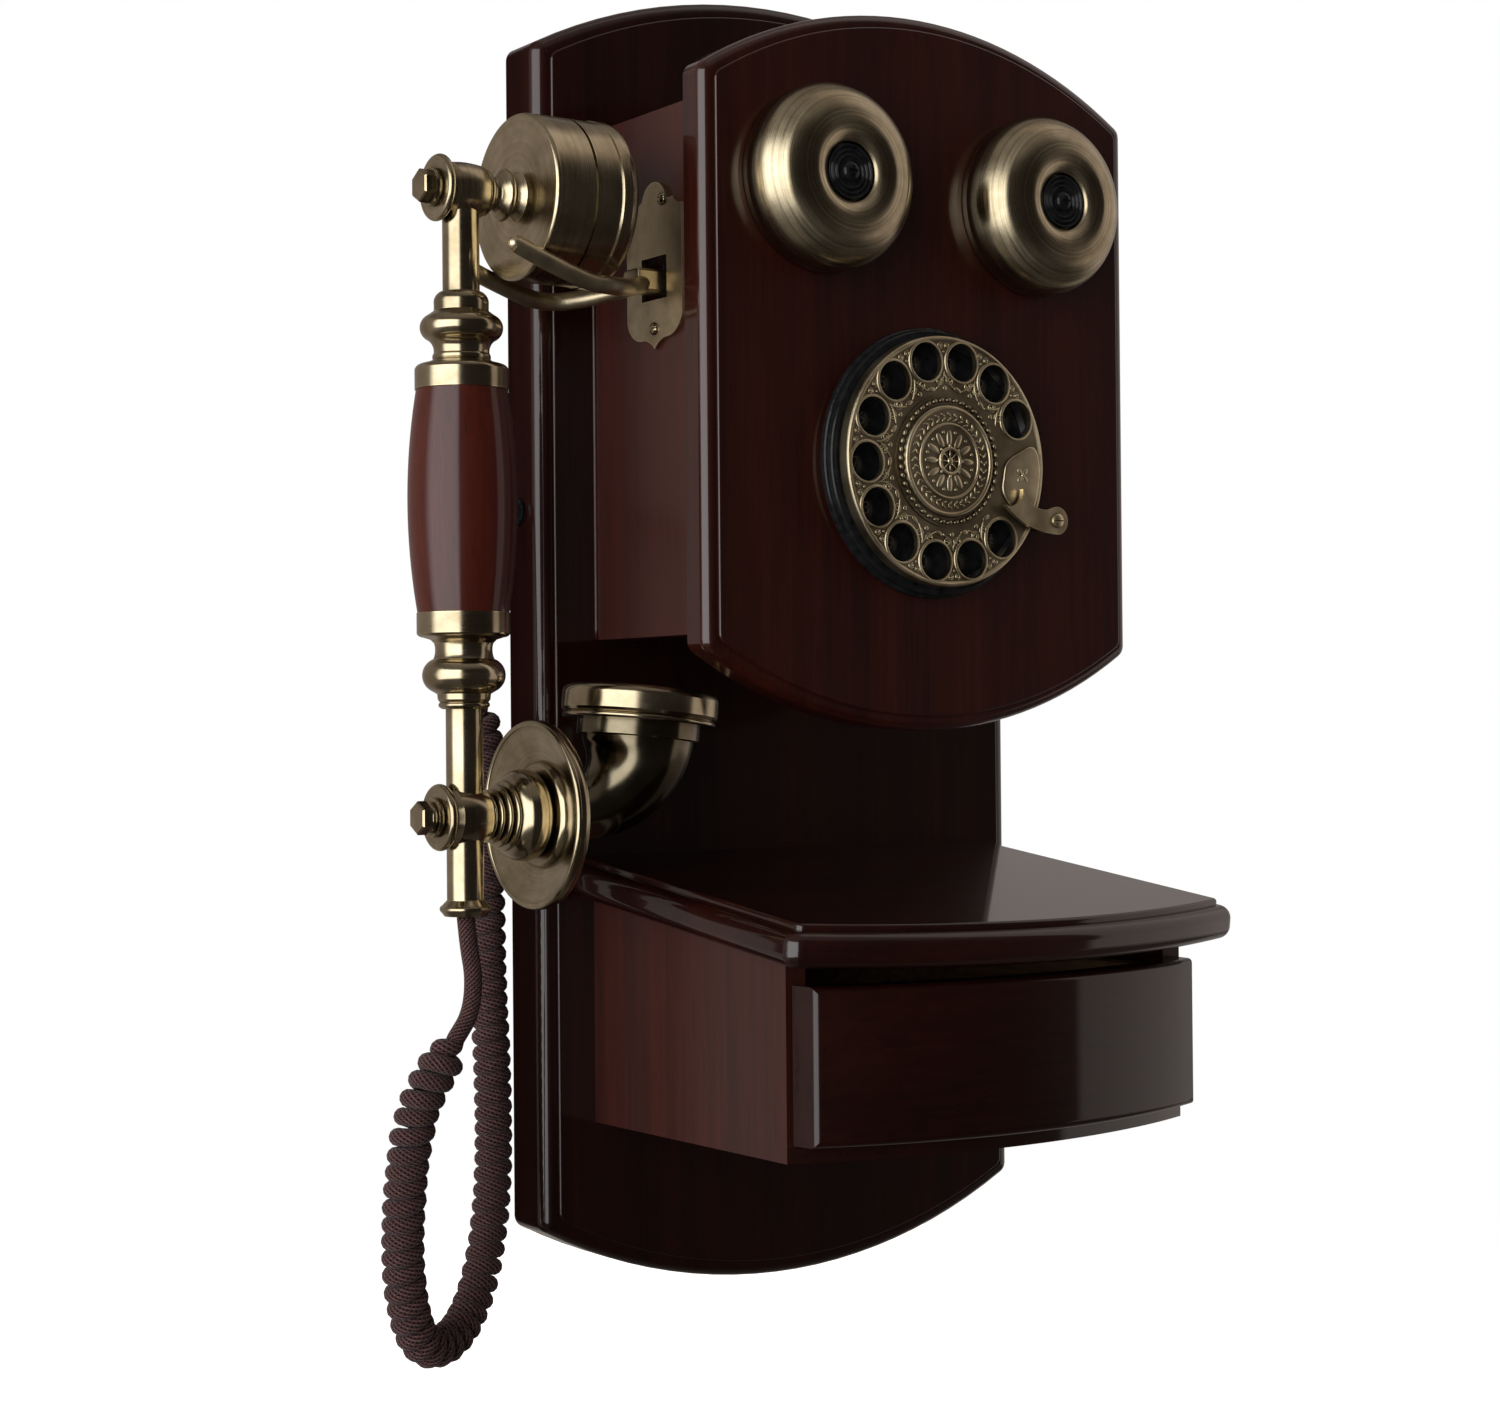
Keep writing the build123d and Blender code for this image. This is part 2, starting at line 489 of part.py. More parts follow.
def lower_neck():
    return upright(turned([(0, GRIP_LOW), (15.5, GRIP_LOW), (15.5, -1.8), (14.8, -2.6, "through"),
                           (13.5, -3.0), (11.0, -3.8), (9.8, -5.0), (9.5, -7.8, "through"), (10.1, -10.2),
                           (13.8, -15.8, "through"), (11.3, -20.4), (8.9, -21.8), (8.7, -23.6), (8.0, -24.6),
                           (8.5, -25.4, "through"), (8.0, -26.3), (7.2, LOWER_NECK_FOOT),
                           (0, LOWER_NECK_FOOT)]))


def lower_tube():
    return upright(turned([(0, LOWER_NECK_FOOT), (TUBE_R, LOWER_NECK_FOOT), (TUBE_R, -90.0), (7.9, -91.8),
                           (8.6, -92.8, "through"), (8.2, -93.8), (7.0, LOWER_END), (0, LOWER_END)]))


def receiver_tee():
    """The upper cross-piece: a thin flange and a barrel that the tube enters from below."""
    barrel = turned([(0, -173.4), (9.8, -173.4), (11.1, -172.0, "through"), (9.8, -170.6), (8.2, -170.4),
                     (8.2, -169.6), (CROSS_R - 0.6, -167.6), (9.2, -162.0, "through"), (8.6, -156.6),
                     (7.0, -155.8), (0, -155.8)])
    socket = rod(TUBE_R, (HANDSET_X, HANDSET_Y, EAR_Z - 14), (HANDSET_X, HANDSET_Y, EAR_Z - 4))
    return along_x(EAR_Z, barrel) - socket


def transmitter_tee():
    barrel = turned([(0, -174.4), (9.8, -174.4), (11.1, -172.9, "through"), (9.8, -171.4), (8.4, -171.2),
                     (8.4, -170.4), (CROSS_R, -168.6), (9.8, -163.5, "through"), (9.0, -157.4),
                     (7.2, -156.4), (0, -156.4)])
    return along_x(MOUTH_Z, barrel) - upright(Pos(0, 0, MOUTH_Z) * Cylinder(TUBE_R, 40))


def cross_nut(z, face, steps):
    """A hexagon nut on its washers, on the outer end of a cross-piece."""
    nut = Rot(0, 90, 0) * Pos(0, 0, face - 3.6) * extrude(RegularPolygon(5.6, 6), 3.6)
    nut = Pos(0, HANDSET_Y, z) * chamfer(nut.faces().sort_by(Axis.X)[0].edges(), 0.5)
    for r, x0, x1 in steps:
        washer = turned([(0, x0), (r - 0.3, x0), (r, (x0 + x1) / 2, "through"), (r - 0.3, x1), (0, x1)])
        nut += along_x(z, washer)
    return nut


def cross_nuts():
    upper = cross_nut(EAR_Z, -175.6, [(6.4, -175.6, -173.4)])
    lower = cross_nut(MOUTH_Z, -178.0, [(5.2, -178.0, -176.3), (6.6, -176.3, -174.4)])
    return Compound(children=[upper, lower])


def receiver_neck():
    return along_x(EAR_Z, turned([(0, -155.8), (7.3, -155.8), (7.7, -154.9, "through"), (7.3, -154.0),
                                  (5.8, -153.6), (5.4, -152.0, "through"), (6.0, -150.6), (8.3, -148.8),
                                  (8.8, -147.7, "through"), (8.1, -146.6), (6.6, -146.2),
                                  (7.1, -145.4, "through"), (6.8, -144.6), (8.6, RECEIVER_FACE),
                                  (0, RECEIVER_FACE)]))


GROOVE_X, EAR_CAP_X, SHELL_T = -127.6, -117.6, 1.8


def receiver_shell():
    """The round receiver cup, closed at the left and open towards the ear cap."""
    r, face = RECEIVER_R, RECEIVER_FACE
    groove = GROOVE_X + 1.1
    return along_x(EAR_Z, turned([(0, face), (r - 1.6, face), (r - 0.3, face + 0.5, "through"), (r, face + 1.7),
                                  (r, GROOVE_X), (r - 0.9, GROOVE_X), (r - 0.9, groove), (r, groove),
                                  (r, EAR_CAP_X), (r - SHELL_T, EAR_CAP_X), (r - SHELL_T, face + SHELL_T),
                                  (0, face + SHELL_T)]))


def ear_cap():
    """The screwed cap with its dished face and a pattern of sound holes."""
    r = RECEIVER_R
    cap = along_x(EAR_Z, turned([(0, EAR_CAP_X), (r - 0.3, EAR_CAP_X), (r + 0.3, EAR_CAP_X + 0.8),
                                 (r + 0.3, -113.4), (r - 1.5, -110.2, "through"), (r - 5.0, RECEIVER_END),
                                 (r - 7.0, -110.2, "through"), (12.0, -113.4), (0, -114.0)]))
    for ring_r, count in ((0.0, 1), (5.0, 6), (9.5, 12)):
        for k in range(count):
            a = 2 * pi * k / count
            y, z = HANDSET_Y + ring_r * cos(a), EAR_Z + ring_r * sin(a)
            cap -= rod(1.1, (EAR_CAP_X - 1, y, z), (RECEIVER_END + 1, y, z))
    return cap


def receiver_capsule():
    return along_x(EAR_Z, turned([(0, -131), (18, -131), (18, -122), (24, -122), (24, EAR_CAP_X),
                                  (0, EAR_CAP_X)]))


def transmitter_neck():
    """The stack of turned rings and the half-round bead between the cross-piece and the disc."""
    rings = [(0, -156.4), (7.6, -156.4), (8.1, -155.9, "through"), (7.6, -155.4), (6.6, -155.2), (8.6, -154.5),
             (9.1, -153.8, "through"), (8.6, -153.1), (7.8, -152.8), (10.0, -152.1), (10.5, -151.4, "through"),
             (10.0, -150.7), (9.2, -150.4), (11.3, -149.7), (11.8, -149.0, "through"), (11.3, -148.2)]
    bead = [(15.5, -142.2, "through"), (NECK_FOOT_R, -136.6), (NECK_FOOT_R, DISC_X), (0, DISC_X)]
    return along_x(MOUTH_Z, turned(rings + bead))


NECK_FOOT_R, HORN_START_R = 13.0, 9.0


def transmitter_disc():
    """The wide dished disc with a rolled rim and a raised ring near its centre."""
    r, x, rim = DISC_R, DISC_X, DISC_RIM_X
    return along_x(MOUTH_Z, turned([(NECK_FOOT_R, x - 1.8), (16.6, x - 1.8), (17.6, x - 1.1, "through"),
                                    (18.2, x), (r - 2.3, rim + 0.6), (r - 1.1, rim, "through"), (r - 0.1, rim + 1.5),
                                    (r, rim + 3.4, "through"), (r - 0.8, rim + 5.0), (r - 2.0, rim + 5.4),
                                    (HORN_START_R, DISC_BACK), (HORN_START_R, x), (NECK_FOOT_R, x)]))


def horn_stations(trim):
    """Centre, direction and radius of the horn's round sections, from the disc to the mouth."""
    tilt = radians(90 - MOUTH_TILT)
    lead = ((MOUTH_RIM_Z - MOUTH_Z) - ELBOW_R * (1 - cos(tilt))) / sin(tilt)
    start_x = MOUTH_X - lead * cos(tilt) - ELBOW_R * sin(tilt)
    stations = [(DISC_BACK, MOUTH_Z, 0.0, HORN_START_R), ((start_x + DISC_BACK) / 2, MOUTH_Z, 0.0, 8.8)]
    for share, r in ((0.0, 9.2), (0.25, 11.0), (0.5, 14.0), (0.75, 17.2), (1.0, 19.4)):
        a = tilt * share
        stations.append((start_x + ELBOW_R * sin(a), MOUTH_Z + ELBOW_R * (1 - cos(a)), a, r))
    back = -MOUTH_LOW
    stations.append((MOUTH_X - back * cos(tilt), MOUTH_RIM_Z - back * sin(tilt), tilt, 20.9))
    return stations[trim:]


def horn_loft(stations, thinner):
    sections = []
    for x, z, a, r in stations:
        plane = Plane(origin=(x, HANDSET_Y, z), x_dir=(0, 1, 0), z_dir=(cos(a), 0, sin(a)))
        sections.append(plane * Circle(r - thinner))
    return loft(sections)


def mouth_plane():
    tilt = radians(90 - MOUTH_TILT)
    middle = (MOUTH_X, HANDSET_Y, MOUTH_RIM_Z)
    return Plane(origin=middle, x_dir=(0, 1, 0), z_dir=(cos(tilt), 0, sin(tilt)))


def transmitter_horn():
    """The goose-neck from the disc up to the mouthpiece, hollow above its bend, with a low collar."""
    low = MOUTH_LOW - COLLAR_H
    collar = mouth_plane() * turned([(19.0, low), (21.0, low), (21.4, low + 0.5), (21.4, MOUTH_LOW),
                                     (19.0, MOUTH_LOW)])
    return horn_loft(horn_stations(0), 0) + collar - horn_loft(horn_stations(4), 1.8)


MOUTH_LOW, MOUTH_TOP, COLLAR_H = -6.6, 5.0, 5.6


def mouth_ring():
    """The mouthpiece's rolled rim over a thin lower ring, open through the middle."""
    r = MOUTH_R
    ring = turned([(17.0, MOUTH_LOW), (r - 1.6, MOUTH_LOW), (r - 0.6, MOUTH_LOW + 0.9, "through"),
                   (r - 1.2, MOUTH_LOW + 1.9),
                   (r - 0.5, MOUTH_LOW + 2.5), (r, MOUTH_LOW + 3.4), (r, MOUTH_TOP - 2.6),
                   (r - 0.7, MOUTH_TOP - 1.0, "through"), (r - 2.4, MOUTH_TOP), (r - 4.0, MOUTH_TOP - 0.8),
                   (r - 5.4, MOUTH_TOP - 6.2), (17.0, MOUTH_LOW + 2.0)])
    return mouth_plane() * ring


def mouth_grille():
    """The perforated disc over the microphone, with the capsule behind it."""
    disc = turned([(0, MOUTH_LOW - 4), (16.0, MOUTH_LOW - 4), (16.9, MOUTH_LOW), (16.9, MOUTH_LOW + 2.0),
                   (8.0, MOUTH_LOW + 2.6, "through"), (0, MOUTH_LOW + 2.8)])
    for ring_r, count in ((0.0, 1), (4.5, 6), (9.0, 12), (13.2, 18)):
        for k in range(count):
            a = 2 * pi * k / count
            disc -= Pos(ring_r * cos(a), ring_r * sin(a), MOUTH_LOW + 2.4) * Cylinder(0.9, 3.0)
    return mouth_plane() * disc


# ---- shelf and drawer ----------------------------------------------------------------
SLOPE_DEG = degrees(atan(SHELF_SLOPE))


def on_slope(solid):
    """Puts a solid made at z = 0 behind y = 0 onto the shelf's sloping top plane."""
    return Pos(0, BACK_FRONT, SHELF_TOP_Z) * Rot(SLOPE_DEG, 0, 0) * solid


def bowed_plan(half_w, corner_y, bow, back_y=0.0, grow=0.0):
    """A plan outline, straight at the sides and back and bowed at the front, drawn out by grow."""
    radius = (half_w**2 + bow**2) / (2 * bow)
    w, nose = half_w + grow, corner_y - bow - grow
    corner = nose + (radius + grow) - sqrt((radius + grow)**2 - w**2)
    return outline([(-w, back_y), (-w, corner), (0, nose, "through"), (w, corner), (w, back_y)],
                   lambda x, y: (x, y, 0))


def front_corners(face, radius):
    return fillet(face.vertices().sort_by(Axis.Y)[:2], radius)


def shelf_top():
    """The sloping writing shelf: a round-nosed board with a thin flat field on top."""
    reach = (BACK_FRONT - SHELF_CORNER_Y) / cos(radians(SLOPE_DEG))
    wide = front_corners(bowed_plan(SHELF_FLAT_HALF_W, -reach, SHELF_BOW, 6, SHELF_LIP), 6)
    flat = front_corners(bowed_plan(SHELF_FLAT_HALF_W, -reach, SHELF_BOW, 6), 3)
    slab = Pos(0, 0, -SHELF_T) * extrude(wide, SHELF_T - SHELF_STEP)
    nose = [e for f in (slab.faces().sort_by(Axis.Z)[0], slab.faces().sort_by(Axis.Z)[-1])
            for e in f.edges() if e.center().Y < 5]
    slab = fillet(nose, 4.6)
    field = Pos(0, 0, -SHELF_STEP - 0.5) * extrude(flat, SHELF_STEP + 0.5)
    top = field.faces().sort_by(Axis.Z)[-1]
    field = fillet([e for e in top.edges() if e.center().Y < 5], 1.2)
    return on_slope(slab + field) - block(-150, 150, BACK_FRONT, BACK_FRONT + 30, -130, -40)


def above_shelf_underside():
    return on_slope(block(-150, 150, -200, 60, -SHELF_T, 150))


def case_sides():
    sides = []
    for side in (-1, 1):
        x0, x1 = sorted((side * CASE_HALF_W, side * (CASE_HALF_W - CASE_WALL)))
        board = block(x0, x1, CASE_FRONT, BACK_FRONT, CASE_LOW, -80)
        sides.append((board - above_shelf_underside()).solids()[0])
    return Compound(children=sides)


def case_bottom():
    inner = CASE_HALF_W - CASE_WALL
    floor = extrude(bowed_plan(CASE_HALF_W, CASE_FRONT, DRAWER_BOW, BACK_FRONT), CASE_FLOOR_T)
    floor = Pos(0, 0, CASE_LOW) * floor
    for side in (-1, 1):
        x0, x1 = sorted((side * (CASE_HALF_W + 1), side * inner))
        floor -= block(x0, x1, CASE_FRONT, BACK_FRONT + 1, CASE_LOW - 1, CASE_LOW + CASE_FLOOR_T + 1)
    return floor


DRAWER_BACK, DRAWER_SIDE_T, DRAWER_FLOOR_T, DRAWER_SIDE_HIGH = -32.0, 7.0, 3.4, -120.0
DRAWER_SIDE_X = CASE_HALF_W - CASE_WALL - 0.8
RUNNER_Z = CASE_LOW + CASE_FLOOR_T + GAP


def drawer_front():
    """The bowed front, standing proud of the case, its edges rounded."""
    rear = CASE_FRONT - DRAWER_GAP
    front, w = rear - DRAWER_PANEL_T, DRAWER_HALF_W
    edge = [(-w, rear), (0, rear - DRAWER_BOW, "through"), (w, rear), (w - 1.5, front),
            (0, front - DRAWER_BOW, "through"), (1.5 - w, front)]
    plan = outline(edge, lambda x, y: (x, y, 0))
    panel = Pos(0, 0, DRAWER_LOW) * extrude(plan, amount=DRAWER_HIGH - DRAWER_LOW, dir=(0, 0, 1))
    upright_edges = panel.edges().filter_by(Axis.Z)
    corners = upright_edges.filter_by(lambda e: e.center().Y < front + 0.5)
    bowed = panel.edges().filter_by(lambda e: e.length > 100 and e.center().Y < rear - DRAWER_BOW - 5)
    return fillet(bowed + corners, 2.6)


def drawer_sides():
    sides = []
    for side in (-1, 1):
        x0, x1 = sorted((side * DRAWER_SIDE_X, side * (DRAWER_SIDE_X - DRAWER_SIDE_T)))
        board = block(x0, x1, CASE_FRONT - 20, DRAWER_BACK, RUNNER_Z, DRAWER_SIDE_HIGH)
        sides.append((board - in_front_of_drawer_rear()).solids()[0])
    return Compound(children=sides)


def in_front_of_drawer_rear():
    """A solid that fills all space in front of the drawer panel's bowed rear face."""
    rear = CASE_FRONT - DRAWER_GAP
    plan = outline([(-DRAWER_HALF_W, rear), (0, rear - DRAWER_BOW, "through"), (DRAWER_HALF_W, rear),
                    (DRAWER_HALF_W, rear - 60), (-DRAWER_HALF_W, rear - 60)], lambda x, y: (x, y, 0))
    return Pos(0, 0, -200) * extrude(plan, amount=120, dir=(0, 0, 1))


def drawer_back():
    inner = DRAWER_SIDE_X - DRAWER_SIDE_T
    return block(-inner, inner, DRAWER_BACK - 6, DRAWER_BACK, RUNNER_Z, DRAWER_SIDE_HIGH)


def drawer_bottom():
    inner = DRAWER_SIDE_X - DRAWER_SIDE_T
    low = RUNNER_Z + 1
    board = block(-inner, inner, CASE_FRONT - 20, DRAWER_BACK - 6, low, low + DRAWER_FLOOR_T)
    return board - in_front_of_drawer_rear()


# ---- crank ---------------------------------------------------------------------------
CRANK_SLEEVE_R, CRANK_KNOB_X0, CRANK_KNOB_X1, CRANK_PIN_R = 5.5, 101.5, 121.0, 2.0


def on_crank_axis(solid, drop=0.0):
    return Pos(0, CRANK_Y, CRANK_Z - drop) * Rot(0, 90, 0) * solid


def crank_bushing():
    """The flanged brass bearing in the box's right side."""
    bore = CRANK_SHAFT_R + RUNNING
    inner = BOX_HALF_W - BOX_WALL
    face = BOX_HALF_W
    return on_crank_axis(turned([(bore, inner), (CRANK_SLEEVE_R, inner), (CRANK_SLEEVE_R, face), (12, face),
                                 (12, face + 1.2), (9, face + 2.6), (7, face + 5.4), (bore, face + 5.4)]))


def crank_handle():
    """Shaft, arm and knob pin in one forging, kept in by a collar inside the box."""
    inner = BOX_HALF_W - BOX_WALL
    r, x0, x1 = CRANK_SHAFT_R, CRANK_ARM_X, CRANK_ARM_X + CRANK_ARM_T
    shaft = [(0, inner - 6), (r, inner - 6), (r, inner - 5), (5.4, inner - 5), (5.4, inner - GAP),
             (r, inner - GAP), (r, x0 - 1.6), (6.4, x0 - 1.6), (6.4, x1 + 1.0), (4.6, x1 + 2.2), (0, x1 + 2.2)]
    y, low = CRANK_Y, CRANK_Z - CRANK_THROW
    arm = outline([(y - 5, CRANK_Z), (y - 4, low), (y, low - 4, "through"), (y + 4, low), (y + 5, CRANK_Z)],
                  lambda y, z: (x0, y, z))
    handle = on_crank_axis(turned(shaft)) + extrude(arm, amount=CRANK_ARM_T, dir=(1, 0, 0))
    end = CRANK_KNOB_X1 + GAP
    pin = turned([(0, x1 - 1), (CRANK_PIN_R, x1 - 1), (CRANK_PIN_R, end), (3.4, end), (2.8, end + 1.2),
                  (0, end + 1.5)])
    return handle + on_crank_axis(pin, CRANK_THROW)


def crank_knob():
    """The turned wooden grip that spins on the crank's pin."""
    bore = CRANK_PIN_R + RUNNING
    a, b = CRANK_KNOB_X0, CRANK_KNOB_X1
    return on_crank_axis(turned([(bore, a), (4.6, a), (5.0, a + 2), (4.4, a + 4, "through"), (5.0, a + 6),
                                 (6.6, b - 7, "through"), (5.2, b - 1), (4.0, b), (bore, b)]), CRANK_THROW)


# ---- handset cord --------------------------------------------------------------------
BUSHING_R, BUSHING_IN = 4.0, 92.0

CORD_TOP = [(-112.6, -6.5, 45.0), (-121.6, -6.5, 45.0), (-130.4, -6.9, 40.8), (-136.2, -7.8, 32.4),
            (-138.3, -9.4, 22.0), (-136.6, -12.0, 7.6), (-132.6, -14.2, -8.2), (-130.2, -15.0, -24.0)]
CORD_COIL = [(-130.2, -15.0, -24.0), (-127.6, -15.9, -40.9), (-128.1, -15.6, -75.0), (-127.8, -15.2, -112.0),
             (-125.2, -15.0, -163.0), (-126.6, -16.4, -201.0), (-136.2, -23.0, -230.0), (-152.0, -33.0, -244.0),
             (-170.8, -44.0, -242.0), (-180.2, -50.4, -218.0), (-182.6, -56.0, -188.0), (-181.0, -61.0, -160.0),
             (-175.0, -64.4, -146.5), (-167.6, -65.4, -135.5)]
CORD_END = [(-167.6, -65.4, -135.5), (-162.42, -66.1, -127.8), (-160.8, -65.8, -116.0), (-162.6, -65.2, -105.0),
            (-163.5, -65.2, -95.6)]


def corner_radii(points):
    """For each corner, 0.45 of its shorter run over the tangent of half its turn."""
    radii = []
    for a, b, c in zip(points, points[1:], points[2:]):
        before, after = Vector(*b) - Vector(*a), Vector(*c) - Vector(*b)
        half_turn = radians(before.get_angle(after)) / 2
        radii.append(0.45 * min(before.length, after.length) / tan(half_turn))
    return radii


def cord_run(name, points, radius):
    """A plain tube of straight runs and tangent arcs, with its figures printed."""
    radii = corner_radii(points)
    path = FilletPolyline(*points, radius=radii)
    tube = sweep(Plane(origin=path @ 0, z_dir=path % 0) * Circle(radius), path=path)
    ideal = pi * radius**2 * path.length
    print(f"{name}: length {path.length:.1f}, radii {[round(r) for r in radii]},"
          f" volume over ideal {tube.volume / ideal:.4f}")
    return tube


def cord_bushing():
    """The flanged sleeve where the cord leaves the backboard's left edge."""
    x = -BACK_HALF_W
    sleeve = turned([(0, -BUSHING_IN), (BUSHING_R, -BUSHING_IN), (BUSHING_R, x), (5.2, x), (5.2, x - 1.2),
                     (4.4, x - 2.4, "through"), (4.0, x - BUSHING_LIP), (0, x - BUSHING_LIP)])
    return Pos(0, BUSHING_Y, BUSHING_Z) * Rot(0, 90, 0) * sleeve


def pair(make):
    return Compound(children=[make(-BELL_X), make(BELL_X)])


# ---- every node ----------------------------------------------------------------------
save("backboard", backboard())
save("hanger_plates", hanger_plates())
save("box_left_side", box_left_side())
save("box_right_side", box_right_side())
save("box_top", box_top())
save("box_bottom", box_bottom())
save("line_jack", line_jack())
save("face_panel", face_panel())
save("circuit_board", circuit_board())

save("bell_left", bell(-BELL_X))
save("bell_right", bell(BELL_X))
save("bell_posts", pair(bell_post))
save("bell_caps", pair(bell_cap))
save("bell_screws", pair(bell_screw))

save("dial_base", dial_base())
save("number_plate", number_plate())
save("dial_mechanism", dial_mechanism())
save("dial_wheel", dial_wheel())
save("dial_medallion", dial_medallion())
save("dial_spindle", dial_spindle())
save("finger_stop", finger_stop())
save("finger_stop_screw", finger_stop_screw())

save("hook_plate", hook_plate())
save("hook_plate_screws", hook_plate_screws())
save("hook_bracket", hook_bracket())
save("hook_switch", hook_switch())
save("hook_fork", hook_fork())
save("hook_pin", hook_pin())

save("handset_grip", handset_grip())
save("upper_neck", upper_neck())
save("upper_tube", upper_tube())
save("lower_neck", lower_neck())
save("lower_tube", lower_tube())
save("receiver_tee", receiver_tee())
save("transmitter_tee", transmitter_tee())
save("cross_nuts", cross_nuts())
save("receiver_neck", receiver_neck())
save("receiver_shell", receiver_shell())
save("receiver_capsule", receiver_capsule())
save("ear_cap", ear_cap())
save("transmitter_neck", transmitter_neck())
save("transmitter_disc", transmitter_disc())
save("transmitter_horn", transmitter_horn())
save("mouth_ring", mouth_ring())
save("mouth_grille", mouth_grille())

save("shelf_top", shelf_top())
save("case_sides", case_sides())
save("case_bottom", case_bottom())
save("drawer_front", drawer_front())
save("drawer_sides", drawer_sides())
save("drawer_back", drawer_back())
save("drawer_bottom", drawer_bottom())

save("crank_bushing", crank_bushing())
save("crank_handle", crank_handle())
save("crank_knob", crank_knob())

save("cord_bushing", cord_bushing())
save("cord_tail_wall", cord_run("cord_tail_wall", CORD_TOP, CORD_R))
save("cord_coil", cord_run("cord_coil", CORD_COIL, COIL_R))
save("cord_tail_handset", cord_run("cord_tail_handset", CORD_END, CORD_R))
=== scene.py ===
"""How the wall crank telephone looks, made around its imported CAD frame.

Metres, +Z up, the wall at y = 0 and the telephone's front towards -Y. Pieces take their places from the
frame's own boxes and from the dimensions below, which are the telephone's own.
"""
import math

import bmesh
import bpy
from mathutils import Matrix, Vector, noise


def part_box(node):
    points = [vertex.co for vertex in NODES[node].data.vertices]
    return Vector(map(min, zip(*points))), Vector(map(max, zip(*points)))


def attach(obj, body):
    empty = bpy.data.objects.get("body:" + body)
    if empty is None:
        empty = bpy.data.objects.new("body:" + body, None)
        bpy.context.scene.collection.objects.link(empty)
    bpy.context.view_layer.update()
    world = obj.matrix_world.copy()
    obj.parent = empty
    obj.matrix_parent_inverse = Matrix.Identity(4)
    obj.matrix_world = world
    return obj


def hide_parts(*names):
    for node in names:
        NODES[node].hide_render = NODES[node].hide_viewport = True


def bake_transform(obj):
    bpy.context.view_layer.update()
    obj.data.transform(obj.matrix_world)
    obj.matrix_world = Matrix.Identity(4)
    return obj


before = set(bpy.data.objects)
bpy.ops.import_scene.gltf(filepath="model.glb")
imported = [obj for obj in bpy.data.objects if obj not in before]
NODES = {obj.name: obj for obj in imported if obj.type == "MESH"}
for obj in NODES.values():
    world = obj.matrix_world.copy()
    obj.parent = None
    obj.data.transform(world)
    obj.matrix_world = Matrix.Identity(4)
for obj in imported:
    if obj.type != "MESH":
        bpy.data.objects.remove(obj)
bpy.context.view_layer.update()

MM = 0.001

# ---- sizes of the telephone that the pieces below are made to --------------------------
DIAL_CENTRE = (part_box("dial_base")[0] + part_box("dial_base")[1]) / 2
WHEEL_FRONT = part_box("dial_wheel")[0].y
MEDALLION_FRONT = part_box("dial_medallion")[0].y
HOLE_COUNT, HOLE_RING = 12, 35.6 * MM
HOLE_FIRST, HOLE_STEP = math.radians(27.5), math.radians(25.9)
RELIEF_R = 0.32 * MM                      # half thickness of the cast scrolls on the dial

CORD_DIAMETER = 6.1 * MM


def in_scene(name, data):
    """A new object in the scene that holds some data."""
    thing = bpy.data.objects.new(name, data)
    bpy.context.scene.collection.objects.link(thing)
    return thing


def ring_angles(count):
    return [2 * math.pi * k / count for k in range(count)]


# ---- camera ----------------------------------------------------------------------------
CAMERA_AT = (-0.59006, -0.84145, -0.0343)
CAMERA_YAW, CAMERA_PITCH, CAMERA_ROLL = (math.radians(a) for a in (34.929, 0.567, -0.484))
CAMERA_LENS = 63.77


def make_camera():
    """Stands in front and to the left, level with the middle of the telephone."""
    sin, cos = math.sin, math.cos
    ahead = Vector((sin(CAMERA_YAW) * cos(CAMERA_PITCH), cos(CAMERA_YAW) * cos(CAMERA_PITCH),
                    sin(CAMERA_PITCH)))
    level = Vector((cos(CAMERA_YAW), -sin(CAMERA_YAW), 0))
    above = level.cross(ahead)
    right = level * cos(CAMERA_ROLL) + above * sin(CAMERA_ROLL)
    up = above * cos(CAMERA_ROLL) - level * sin(CAMERA_ROLL)
    turn = Matrix((right, up, -ahead)).transposed().to_4x4()
    camera = in_scene("camera", bpy.data.cameras.new("camera"))
    camera.matrix_world = Matrix.Translation(CAMERA_AT) @ turn
    camera.data.lens = CAMERA_LENS
    camera.data.clip_start, camera.data.clip_end = 0.01, 50
    bpy.context.scene.camera = camera


